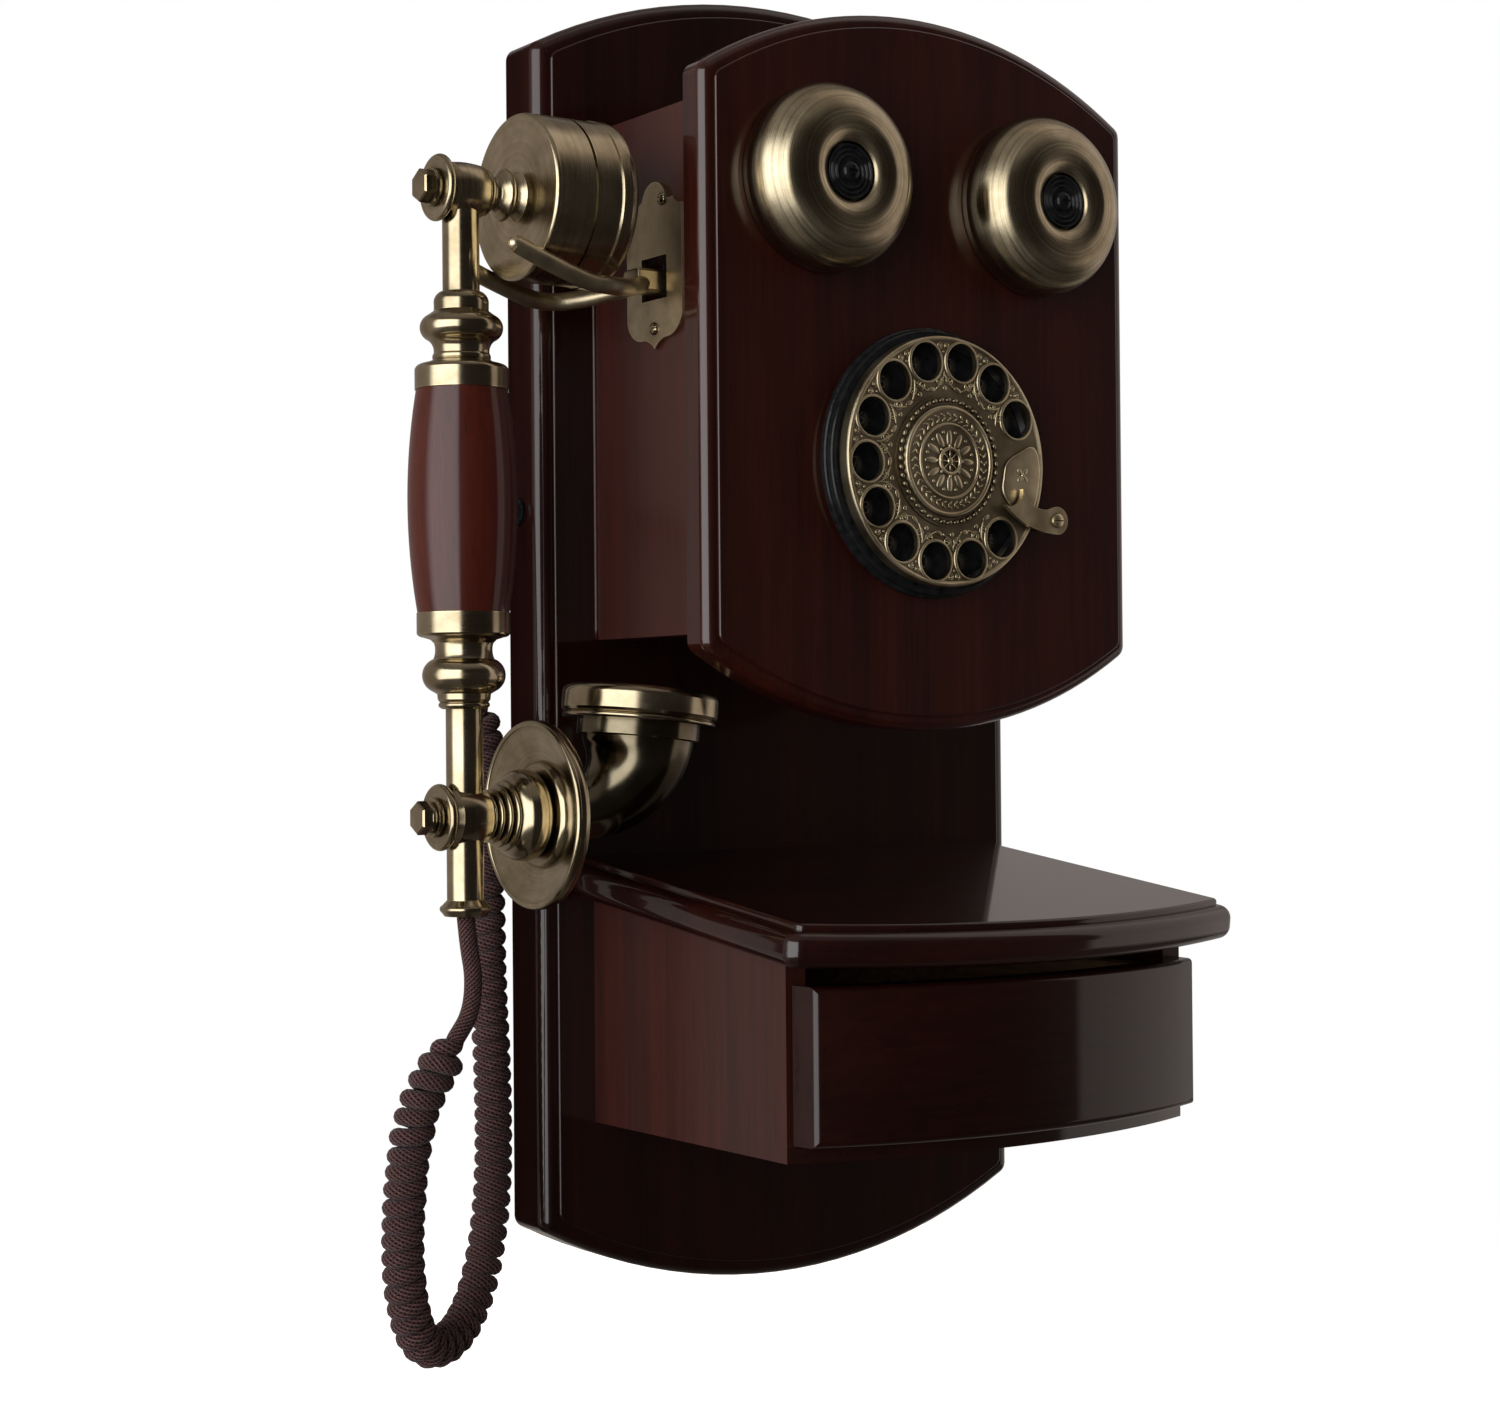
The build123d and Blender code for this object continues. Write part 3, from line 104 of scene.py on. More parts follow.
# ---- node trees ------------------------------------------------------------------------
class Tree:
    """Short calls for building one node tree."""

    def __init__(self, tree):
        self.tree = tree

    def add(self, kind, inputs=(), **settings):
        node = self.tree.nodes.new("ShaderNode" + kind)
        for key, value in settings.items():
            setattr(node, key, value)
        for socket, value in dict(inputs).items():
            self.put(value, node.inputs[socket])
        return node

    def put(self, value, socket):
        if isinstance(value, bpy.types.NodeSocket):
            self.tree.links.new(value, socket)
        else:
            socket.default_value = value

    def math(self, operation, *values):
        return self.add("Math", dict(enumerate(values)), operation=operation).outputs[0]

    def spread(self, value, low, high, to_low=0.0, to_high=1.0, smooth=False):
        """Maps a value from one range to another, held at both ends."""
        kind = "SMOOTHSTEP" if smooth else "LINEAR"
        inputs = {0: value, 1: low, 2: high, 3: to_low, 4: to_high}
        return self.add("MapRange", inputs, interpolation_type=kind).outputs[0]

    def ramp(self, value, stops):
        node = self.add("ValToRGB", {"Fac": value})
        ends = node.color_ramp.elements
        while len(ends) < len(stops):
            ends.new(0.5)
        for end, (place, colour) in zip(ends, stops):
            end.position = place
            end.color = (*colour, 1)
        return node.outputs["Color"]

    def mix(self, share, a, b, blend="MIX"):
        node = self.add("Mix", data_type="RGBA", blend_type=blend)
        sockets = [s for s in node.inputs if s.enabled]
        for value, socket in zip((share, a, b), sockets):
            self.put(value if isinstance(value, (bpy.types.NodeSocket, float, int)) else (*value, 1), socket)
        return node.outputs["Result"] if node.outputs["Result"].enabled else node.outputs[2]


class Material(Tree):
    """A Principled material, with the patterns that the finishes share."""

    def __init__(self, name, **sockets):
        self.material = bpy.data.materials.new(name)
        self.material.use_nodes = True
        super().__init__(self.material.node_tree)
        self.shader = self.tree.nodes["Principled BSDF"]
        for socket, value in sockets.items():
            self.shader.inputs[socket.replace("_", " ")].default_value = value

    def set(self, socket, value):
        self.put(value, self.shader.inputs[socket])

    def place(self, scale, centre=(0, 0, 0)):
        """Object coordinates about a centre, stretched."""
        where = self.add("TexCoord").outputs["Object"]
        moved = self.add("VectorMath", {0: where, 1: tuple(centre)}, operation="SUBTRACT").outputs[0]
        return self.add("VectorMath", {0: moved, 1: tuple(scale)}, operation="MULTIPLY").outputs[0]

    def noise(self, vector, scale=1.0, detail=4.0, rough=0.55, distortion=0.0):
        inputs = {"Vector": vector, "Scale": scale, "Detail": detail, "Roughness": rough,
                  "Distortion": distortion}
        return self.add("TexNoise", inputs).outputs["Fac"]

    def bump(self, height, strength, depth, under=None):
        inputs = {"Height": height, "Strength": strength, "Distance": depth}
        if under:
            inputs["Normal"] = under
        return self.add("Bump", inputs).outputs["Normal"]

    def turned_place(self, centre, axis):
        """Distance from a turning axis and place along it, for lines that run round a turned part."""
        x, y, z = self.add("SeparateXYZ", {0: self.place((1, 1, 1), centre)}).outputs
        along, a, b = {"X": (x, y, z), "Y": (y, x, z), "Z": (z, x, y)}[axis]
        far = self.math("SQRT", self.math("ADD", self.math("MULTIPLY", a, a), self.math("MULTIPLY", b, b)))
        return self.add("CombineXYZ", {0: far, 1: along, 2: 0.0}).outputs[0]

    def hollows(self, reach):
        """1 in the open and 0 deep in a crevice."""
        return self.add("AmbientOcclusion", {"Distance": reach}, samples=4).outputs["AO"]

    def edges(self, reach):
        """1 on a sharp edge and 0 on a flat or gently curved face."""
        rounded = self.add("Bevel", {"Radius": reach}, samples=4).outputs["Normal"]
        flat = self.add("NewGeometry").outputs["Normal"]
        alike = self.add("VectorMath", {0: rounded, 1: flat}, operation="DOT_PRODUCT").outputs["Value"]
        return self.spread(alike, 0.995, 0.90)


# ---- materials -------------------------------------------------------------------------
GRAIN_ALONG, GRAIN_ACROSS = 14.0, 420.0   # noise cells per metre


def lacquered_wood(name, grain, dark, light, coat_roughness=0.06, film_depth=0.04, coat=1.0):
    """Close-grained mahogany under lacquer, its grain along one axis.

    film_depth is the unevenness of the lacquer in millimetres, and coat is how much of it there is.
    """
    m = Material(name, Roughness=0.42, Coat_Weight=coat, Coat_Roughness=coat_roughness, Coat_IOR=1.5)
    m.shader.inputs["Specular IOR Level"].default_value = 0.12
    scale = [GRAIN_ALONG if axis == grain else GRAIN_ACROSS for axis in "XYZ"]
    streaks = m.noise(m.place(scale), detail=5.0, rough=0.62, distortion=0.35)
    broad = m.noise(m.place([s * 0.09 for s in scale]), detail=2.0, distortion=0.8)
    pores = m.noise(m.place([s * 4.2 for s in scale]), detail=2.0, rough=0.5)
    tone = m.math("ADD", m.math("MULTIPLY", streaks, 0.45), m.math("MULTIPLY", broad, 0.55))
    middle = [(a + b) / 2 for a, b in zip(dark, light)]
    colour = m.ramp(tone, [(0.34, dark), (0.50, middle), (0.66, light)])
    specks = m.spread(pores, 0.60, 0.72)
    m.set("Base Color", m.mix(m.math("MULTIPLY", specks, 0.5), colour, [v * 0.35 for v in dark]))
    grain_bump = m.bump(m.math("SUBTRACT", streaks, m.math("MULTIPLY", specks, 0.5)), 0.25, 0.05 * MM)
    m.set("Normal", grain_bump)
    film = m.noise(m.place((260, 260, 260)), detail=2.0)
    m.set("Coat Normal", m.bump(m.math("ADD", film, m.math("MULTIPLY", streaks, 0.6)), 0.16, film_depth * MM))
    return m.material


def bare_wood(name):
    """Plain unlacquered board for the drawer's inside."""
    m = Material(name, Roughness=0.68)
    streaks = m.noise(m.place((240, 14, 240)), detail=6.0, rough=0.6, distortion=0.6)
    m.set("Base Color", m.ramp(streaks, [(0.3, (0.30, 0.165, 0.085)), (0.55, (0.44, 0.27, 0.15)),
                                         (0.75, (0.52, 0.35, 0.21))]))
    m.set("Normal", m.bump(streaks, 0.4, 0.08 * MM))
    return m.material


BRASS_DARK, BRASS_WORN = (0.036, 0.025, 0.013), (0.66, 0.56, 0.34)
BRASS_MID, BRASS_LIGHT = (0.30, 0.245, 0.155), (0.48, 0.41, 0.28)
SUNK_FROM, SUNK_TO, SUNK_SHARE = 0.22 * MM, 0.58 * MM, 0.65      # where the patina sets in behind a cast face


def brass(name, centre=None, axis="Y", brushed=0.0, roughness=(0.11, 0.22), hollow=2.2 * MM, depth=0.7,
          open_from=0.85, tone=1.0, front=None):
    """Antique brass: worn bright on its edges, dark in its hollows, with turning lines round turned parts.

    hollow is how far a hollow reaches, and depth how dark it gets; open_from is the openness that stays
    clean. tone brightens or darkens all of it, which makes a lit copy of the brass (painted light) above 1
    and a shaded copy (painted shade) below 1. With front, the y of a cast face, the patina also lies on
    whatever is sunk behind that face.
    """
    m = Material(name, Metallic=1.0)
    cloud = m.noise(m.place((70, 70, 70)), detail=5.0, rough=0.6)
    fine = m.noise(m.place((900, 900, 900)), detail=2.0)
    # tone scales the colours: painted light above 1, painted shade below 1.
    mid, light, rubbed = ([v * tone for v in colour] for colour in (BRASS_MID, BRASS_LIGHT, BRASS_WORN))
    worn = m.mix(m.edges(0.5 * MM), m.ramp(cloud, [(0.34, mid), (0.66, light)]), rubbed)
    patina = m.spread(m.hollows(hollow), open_from - 0.5, open_from)
    if brushed:
        streaks = m.noise(m.turned_place(centre, axis), scale=800.0, detail=5.0, rough=0.7)
        worn = m.mix(m.math("MULTIPLY", m.spread(streaks, 0.45, 0.62), 0.5 * brushed), worn, BRASS_DARK)
    dark = m.math("MULTIPLY", m.math("SUBTRACT", 1.0, patina), depth)
    if front is not None:
        y = m.add("SeparateXYZ", {0: m.place((1, 1, 1))}).outputs[1]
        dark = m.math("MAXIMUM", dark, m.spread(y, front + SUNK_FROM, front + SUNK_TO, 0.0, SUNK_SHARE))
    m.set("Base Color", m.mix(dark, worn, BRASS_DARK))
    height = m.math("MULTIPLY", fine, 0.3)
    if centre is not None:
        rings = m.noise(m.turned_place(centre, axis), scale=2300.0, detail=4.0, rough=0.7)
        height = m.math("ADD", height, rings)
        m.set("Roughness", m.spread(rings, 0.3, 0.7, *roughness))
    else:
        m.set("Roughness", m.spread(cloud, 0.3, 0.7, *roughness))
    m.set("Normal", m.bump(height, 0.04 + 0.24 * brushed, 0.02 * MM))
    if brushed:
        m.shader.inputs["Anisotropic"].default_value = brushed
        m.set("Tangent", m.add("Tangent", direction_type="RADIAL", axis=axis).outputs[0])
    return m.material


def gloss_black(name, roughness=0.2):
    """Black plastic or enamel."""
    m = Material(name, Coat_Weight=0.15, Coat_Roughness=0.08)
    m.shader.inputs["Specular IOR Level"].default_value = 0.15
    cloud = m.noise(m.place((320, 320, 320)), detail=4.0)
    m.set("Base Color", m.ramp(cloud, [(0.3, (0.006, 0.006, 0.007)), (0.7, (0.016, 0.017, 0.018))]))
    m.set("Roughness", m.spread(cloud, 0.3, 0.7, roughness * 0.8, roughness * 1.3))
    m.set("Normal", m.bump(cloud, 0.08, 0.03 * MM))
    return m.material


def plated_steel(name):
    """Zinc-plated sheet and turned steel."""
    m = Material(name, Metallic=1.0)
    cloud = m.noise(m.place((600, 600, 600)), detail=4.0)
    m.set("Base Color", m.ramp(cloud, [(0.3, (0.30, 0.29, 0.27)), (0.7, (0.56, 0.56, 0.55))]))
    m.set("Roughness", m.spread(cloud, 0.3, 0.7, 0.25, 0.45))
    m.set("Normal", m.bump(cloud, 0.1, 0.02 * MM))
    return m.material


def circuit_green(name):
    """A solder-masked board with its tracks showing through."""
    m = Material(name, Coat_Weight=0.5, Coat_Roughness=0.15, Roughness=0.4)
    tracks = m.add("TexBrick", {"Vector": m.place((1, 0, 1)), "Scale": 90.0, "Mortar Size": 0.03,
                                "Color1": (0.012, 0.075, 0.035, 1), "Color2": (0.016, 0.09, 0.042, 1),
                                "Mortar": (0.05, 0.18, 0.08, 1)})
    m.set("Base Color", tracks.outputs["Color"])
    m.set("Normal", m.bump(tracks.outputs["Fac"], 0.3, 0.05 * MM))
    return m.material


YARNS_ROUND, YARN_RISE = 11, 1.5 * MM     # yarns side by side round the cord, and the length of one repeat


def braided_cloth(name):
    """Woven cord cover: yarns crossing both ways round the cord, read from its own UVs."""
    m = Material(name, Roughness=0.85, Sheen_Weight=0.12, Sheen_Roughness=0.5)
    m.shader.inputs["Specular IOR Level"].default_value = 0.2
    u, v, _ = m.add("SeparateXYZ", {0: m.add("UVMap", uv_map="cord").outputs[0]}).outputs
    turns = m.math("MULTIPLY", u, 2 * math.pi * YARNS_ROUND)
    climb = m.math("MULTIPLY", v, 2 * math.pi / YARN_RISE)
    right = m.math("SINE", m.math("ADD", turns, climb))
    left = m.math("SINE", m.math("SUBTRACT", turns, climb))
    yarn = m.math("MAXIMUM", right, left)
    over = m.math("GREATER_THAN", right, left)
    fibre = m.noise(m.place((2600, 2600, 2600)), detail=3.0)
    cloud = m.noise(m.place((120, 120, 120)), detail=3.0)
    warp = m.mix(cloud, (0.130, 0.060, 0.054), (0.205, 0.102, 0.090))
    weft = m.mix(cloud, (0.050, 0.021, 0.021), (0.090, 0.040, 0.040))
    # Between the yarns the cloth is painted near black: painted shade in the crevices of the weave.
    gap_shade_mask = m.spread(yarn, 0.1, 0.75)
    flecks = m.spread(m.noise(m.place((1500, 1500, 1500)), detail=3.0), 0.46, 0.60)
    cloth = m.mix(m.math("MULTIPLY", flecks, 0.6), m.mix(over, warp, weft), (0.045, 0.012, 0.013))
    m.set("Base Color", m.mix(gap_shade_mask, (0.007, 0.003, 0.004), cloth))
    m.set("Normal", m.bump(m.math("ADD", yarn, m.math("MULTIPLY", fibre, 0.8)), 0.7, 0.22 * MM))
    return m.material


def worn_paint(name):
    """The faded paint of the signs on the number plate."""
    m = Material(name, Roughness=0.6)
    cloud = m.noise(m.place((900, 900, 900)), detail=2.0)
    m.set("Base Color", m.ramp(cloud, [(0.3, (0.060, 0.055, 0.045)), (0.7, (0.10, 0.09, 0.075))]))
    m.set("Normal", m.bump(cloud, 0.1, 0.02 * MM))
    return m.material


# ---- mesh pieces -----------------------------------------------------------------------
def mesh_piece(name, mesh, material, body):
    piece = in_scene(name, mesh)
    mesh.materials.clear()
    mesh.materials.append(material)
    if body:
        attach(piece, body)
    return piece


def finished(name, bm, smooth=True):
    bmesh.ops.recalc_face_normals(bm, faces=bm.faces)
    mesh = bpy.data.meshes.new(name)
    bm.to_mesh(mesh)
    bm.free()
    if smooth:
        mesh.shade_smooth()
    else:
        mesh.shade_flat()
    return mesh


def as_mesh(data):
    """The mesh that Blender makes of a curve or a text."""
    holder = in_scene(data.name, data)
    bpy.context.view_layer.update()
    mesh = bpy.data.meshes.new_from_object(holder.evaluated_get(bpy.context.evaluated_depsgraph_get()))
    bpy.data.objects.remove(holder)
    return mesh


def on_dial(r, angle, out):
    """A point in front of the dial, from its polar place and its y."""
    return Vector((DIAL_CENTRE.x + r * math.cos(angle), out, DIAL_CENTRE.z + r * math.sin(angle)))


def tube_into(bm, points, radius, sides=8, closed=False, taper=None):
    """Adds a round bar along points; taper gives each ring's share of the radius."""
    rings = []
    count = len(points)
    normal = None
    for i, point in enumerate(points):
        before = points[(i - 1) % count] if closed or i else points[0]
        after = points[(i + 1) % count] if closed or i < count - 1 else points[-1]
        along = (after - before).normalized()
        if normal is None:
            normal = along.orthogonal().normalized()
        normal = (normal - along * normal.dot(along)).normalized()
        other = along.cross(normal)
        r = radius * (taper(i / (count - 1)) if taper else 1.0)
        rings.append([bm.verts.new(point + (normal * math.cos(a) + other * math.sin(a)) * r)
                      for a in ring_angles(sides)])
    for a, b in zip(rings, rings[1:] + ([rings[0]] if closed else [])):
        for k in range(sides):
            bm.faces.new((a[k], a[(k + 1) % sides], b[(k + 1) % sides], b[k]))
    if not closed:
        bm.faces.new(rings[0])
        bm.faces.new(rings[-1])


def lump_into(bm, centre, size, turn):
    """Adds a rounded lump of the given half sizes, turned about Y."""
    place = Matrix.Translation(centre) @ Matrix.Rotation(-turn, 4, "Y") @ Matrix.Diagonal((*size, 1))
    bmesh.ops.create_uvsphere(bm, u_segments=14, v_segments=8, radius=1.0, matrix=place)


def hole_angles():
    return [HOLE_FIRST + k * HOLE_STEP for k in range(HOLE_COUNT)]


def scroll(centre, facing, hand, size, out):
    """Points of a small spiral that opens towards an angle."""
    points = []
    for i in range(26):
        t = i / 25
        r = size * (0.18 + 0.82 * t)
        a = facing + hand * (2.3 * 2 * math.pi * (1 - t) * 0.75)
        points.append(Vector((centre.x + r * math.cos(a), out, centre.z + r * math.sin(a))))
    return points


SCROLL_RING_OUT, SCROLL_RING_IN = 40.6 * MM, 28.4 * MM
BEAD_RING_OUT, BEAD_RING_IN = 38.4 * MM, 25.7 * MM
LEAF_FROM, LEAF_LENGTH = 25.6 * MM, 6.0 * MM


def make_filigree(material):
    """The cast scrolls on the finger wheel, in the webs between its holes."""
    bm = bmesh.new()
    out = WHEEL_FRONT + 0.45 * MM
    holes = hole_angles()
    for first in holes[:-1]:
        web = first + HOLE_STEP / 2
        for hand in (-1, 1):
            outer = on_dial(SCROLL_RING_OUT, web + hand * math.radians(2.3), out)
            curl = scroll(outer, web + math.pi, hand, 1.25 * MM, out)
            tube_into(bm, curl, RELIEF_R * 0.8, 6, taper=scroll_taper)
            inner = on_dial(SCROLL_RING_IN, web + hand * math.radians(4.6), out)
            tube_into(bm, scroll(inner, web, -hand, 1.9 * MM, out), RELIEF_R, 6, taper=scroll_taper)
            leaf = [on_dial(LEAF_FROM + LEAF_LENGTH * t, web + hand * math.radians(9.0 * (1 - t) ** 2), out)
                    for t in (i / 12 for i in range(13))]
            tube_into(bm, leaf, RELIEF_R * 1.1, 6, taper=leaf_taper)
        lump_into(bm, on_dial(BEAD_RING_OUT, web, out), (0.5 * MM, RELIEF_R, 0.5 * MM), web)
        lump_into(bm, on_dial(BEAD_RING_IN, web, out), (0.9 * MM, RELIEF_R, 0.9 * MM), web)
        lump_into(bm, on_dial(BEAD_RING_IN, web + HOLE_STEP / 2, out), (0.8 * MM, RELIEF_R, 1.7 * MM), web)
    mesh_piece("dial_filigree", finished("dial_filigree", bm), material, "dial")


def scroll_taper(t):
    """A curl's thickness along its length: thin at its eye and fullest near its open end."""
    return 0.55 + 0.45 * math.sin(math.pi * min(1.0, 0.25 + 0.75 * t))


def leaf_taper(t):
    """A leaf's thickness along its length: fullest in the middle."""
    return 0.35 + 0.9 * math.sin(math.pi * (0.12 + 0.8 * t))


PAD_FROM, PAD_TO = math.radians(-33.0), math.radians(13.5)
PAD_LOW_R, PAD_HIGH_R, PAD_SIDES, PAD_SQUARENESS = 25.6 * MM, 42.4 * MM, 64, 0.55


def make_pad(material):
    """The smooth pad on the wheel between its last hole and its first, with a small four-leaf mark."""
    bm = bmesh.new()
    top, skirt = WHEEL_FRONT - 0.25 * MM, WHEEL_FRONT + 0.55 * MM
    middle, half = (PAD_FROM + PAD_TO) / 2, (PAD_TO - PAD_FROM) / 2
    rings = []
    for inset, y in ((0.0, skirt), (0.0, top + 0.3 * MM), (0.35 * MM, top + 0.05 * MM), (0.9 * MM, top)):
        ring = []
        for a in ring_angles(PAD_SIDES):
            c, s = (abs(v) ** PAD_SQUARENESS * math.copysign(1, v) for v in (math.cos(a), math.sin(a)))
            r = (PAD_LOW_R + PAD_HIGH_R) / 2 + ((PAD_HIGH_R - PAD_LOW_R) / 2 - inset) * c
            squeeze = 0.80 + 0.20 * c
            ring.append(bm.verts.new(on_dial(r, middle + (half * squeeze - inset / r) * s, y)))
        rings.append(ring)
    for a, b in zip(rings, rings[1:]):
        for i in range(PAD_SIDES):
            bm.faces.new((a[i], a[(i + 1) % PAD_SIDES], b[(i + 1) % PAD_SIDES], b[i]))
    bm.faces.new(rings[-1])
    bm.faces.new(rings[0])
    centre = on_dial(34.0 * MM, middle + math.radians(4), top)
    for k in range(4):
        a = math.radians(45 + 90 * k)
        petal = centre + Vector((math.cos(a), 0, math.sin(a))) * 1.7 * MM
        lump_into(bm, petal, (1.5 * MM, 0.35 * MM, 0.8 * MM), a)
    lump_into(bm, centre, (0.7 * MM, 0.6 * MM, 0.7 * MM), 0)
    mesh_piece("dial_pad", finished("dial_pad", bm), material, "dial")


BEAD_RING, WREATH_RING, PETAL_RING, DOT_RING, COG_RING = (r * MM for r in (21.5, 15.5, 8.0, 10.3, 4.4))
BEADS, WREATH_LEAVES, PETALS, COG_TEETH = 44, 36, 12, 8


def make_medallion_relief(material):
    """Beads, a wreath and a toothed wheel over a rosette, all cast on the centre medallion."""
    bm = bmesh.new()
    step, low = MEDALLION_FRONT + 1.05 * MM, MEDALLION_FRONT + 0.65 * MM
    for a in ring_angles(BEADS):
        lump_into(bm, on_dial(BEAD_RING, a, step), (0.75 * MM, 0.8 * MM, 1.2 * MM), a + math.radians(12))
    for a in ring_angles(WREATH_LEAVES):
        for hand in (-1, 1):
            place = on_dial(WREATH_RING + 0.75 * MM * hand, a, low - 0.1 * MM)
            lump_into(bm, place, (1.15 * MM, 0.35 * MM, 0.42 * MM), a + hand * math.radians(52))
    for a in ring_angles(PETALS):
        lump_into(bm, on_dial(PETAL_RING, a, low), (3.2 * MM, 0.55 * MM, 1.25 * MM), a)
        lump_into(bm, on_dial(DOT_RING, a + math.pi / PETALS, low), (0.7 * MM, 0.5 * MM, 0.7 * MM), a)
    ring = [on_dial(COG_RING, a, low - 0.3 * MM) for a in ring_angles(48)]
    tube_into(bm, ring, 0.7 * MM, 8, closed=True)
    for a in ring_angles(COG_TEETH):
        lump_into(bm, on_dial(COG_RING + 0.9 * MM, a, low - 0.3 * MM), (0.8 * MM, 0.5 * MM, 0.6 * MM), a)
        spoke = [on_dial(r * MM, a, low - 0.3 * MM) for r in (0.6, 2.4, 4.2)]
        tube_into(bm, spoke, 0.3 * MM, 6)
    lump_into(bm, on_dial(0, 0, low - 0.35 * MM), (1.3 * MM, 0.75 * MM, 1.3 * MM), 0)
    mesh_piece("medallion_relief", finished("medallion_relief", bm), material, "dial")


def make_numerals(material):
    """The digits and the two signs on the number plate, one below each finger hole."""
    bm = bmesh.new()
    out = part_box("number_plate")[0].y - 0.06 * MM
    for sign, angle in zip("1234567890*#", hole_angles()):
        text = bpy.data.curves.new("sign", "FONT")
        text.body, text.size, text.extrude = sign, 6.4 * MM, 0.06 * MM
        text.align_x, text.align_y = "CENTER", "CENTER"
        mesh = as_mesh(text)
        place = Matrix.Translation(on_dial(HOLE_RING, angle, out))
        mesh.transform(place @ Matrix.Rotation(math.pi / 2, 4, "X"))
        bm.from_mesh(mesh)
        bpy.data.meshes.remove(mesh)
    mesh = finished("dial_numerals", bm, smooth=False)
    mesh_piece("dial_numerals", mesh, material, "root")


def make_box_bead(material):
    """The slim half-round bead in the corner between the box's left side and the backboard."""
    low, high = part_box("box_left_side")
    bm = bmesh.new()
    radius = 0.9 * MM
    points = [Vector((low.x - 0.1 * MM, high.y - 0.3 * MM, low.z + (high.z - low.z) * i / 40))
              for i in range(41)]
    tube_into(bm, points, radius, 12)
    mesh_piece("box_bead", finished("box_bead", bm), material, "root")


# ---- handset cord ----------------------------------------------------------------------
# The route of the cord's middle in millimetres: the tail at the wall, the coiled stretch, the tail at the
# handset. The CAD has the same points.
CORD_TOP = [(-112.6, -6.5, 45.0), (-121.6, -6.5, 45.0), (-130.4, -6.9, 40.8), (-136.2, -7.8, 32.4),
            (-138.3, -9.4, 22.0), (-136.6, -12.0, 7.6), (-132.6, -14.2, -8.2), (-130.2, -15.0, -24.0)]
CORD_COIL = [(-130.2, -15.0, -24.0), (-127.6, -15.9, -40.9), (-128.1, -15.6, -75.0),
             (-127.8, -15.2, -112.0), (-125.2, -15.0, -163.0), (-126.6, -16.4, -201.0),
             (-136.2, -23.0, -230.0), (-152.0, -33.0, -244.0), (-170.8, -44.0, -242.0),
             (-180.2, -50.4, -218.0), (-182.6, -56.0, -188.0), (-181.0, -61.0, -160.0),
             (-175.0, -64.4, -146.5), (-167.6, -65.4, -135.5)]
CORD_END = [(-167.6, -65.4, -135.5), (-162.42, -66.1, -127.8), (-160.8, -65.8, -116.0),
            (-162.6, -65.2, -105.0), (-163.5, -65.2, -95.6)]
WALL_TURN_R, HAND_TURN_R = 3.8 * MM, 4.35 * MM      # radius of the wire's turns in the two strands
WALL_PITCH, HAND_PITCH = 5.6 * MM, 6.3 * MM
LOOP_BOTTOM, STRAND_CHANGE = (-160, -38, -243), 70 * MM         # where one strand's turns become the other's
COIL_END = 9 * MM                         # over this length the turns open from the straight wire
TURN_R_WOBBLE, PITCH_WOBBLE, WOBBLES_PER_METRE = 0.06, 0.22, 90
TURN_STEPS, CORD_SIDES, TAIL_STEP = 24, 12, 1.2 * MM


def route_points():
    """The smooth line through the route, as closely spaced points."""
    curve = bpy.data.curves.new("route", "CURVE")
    curve.dimensions = "3D"
    curve.resolution_u = 24
    line = curve.splines.new("NURBS")
    route = [Vector(p) * MM for p in CORD_TOP + CORD_COIL[1:] + CORD_END[1:]]
    line.points.add(len(route) - 1)
    for point, place in zip(line.points, route):
        point.co = (*place, 1)
    line.order_u = 3
    line.use_endpoint_u = True
    mesh = as_mesh(curve)
    points = [v.co.copy() for v in mesh.vertices]
    bpy.data.meshes.remove(mesh)
    return points


class Route:
    """Places and frames along the route by distance, with a frame that doesn't twist."""

    def __init__(self, points):
        self.points = points
        self.far = [0.0]
        for a, b in zip(points, points[1:]):
            self.far.append(self.far[-1] + (b - a).length)
        self.length = self.far[-1]
        self.normals = []
        normal = Vector((0, 0, 1)).cross(points[1] - points[0]).normalized()
        for i in range(len(points)):
            along = self.along(i)
            normal = (normal - along * normal.dot(along)).normalized()
            self.normals.append(normal.copy())
        self.here = 0

    def along(self, i):
        a, b = self.points[max(i - 1, 0)], self.points[min(i + 1, len(self.points) - 1)]
        return (b - a).normalized()

    def nearest(self, place):
        i = min(range(len(self.points)), key=lambda k: (self.points[k] - place).length)
        return self.far[i]

    def at(self, s):
        """Place, direction and normal at a distance; distances are asked for in rising order."""
        while self.here < len(self.far) - 2 and self.far[self.here + 1] < s:
            self.here += 1
        i = self.here
        share = (s - self.far[i]) / max(self.far[i + 1] - self.far[i], 1e-9)
        place = self.points[i].lerp(self.points[i + 1], share)
        along = self.along(i).lerp(self.along(i + 1), share).normalized()
        normal = self.normals[i].lerp(self.normals[i + 1], share)
        return place, along, (normal - along * normal.dot(along)).normalized()


def eased(t):
    """Rises smoothly from 0 to 1 and holds at both."""
    t = min(1.0, max(0.0, t))
    return t * t * (3 - 2 * t)


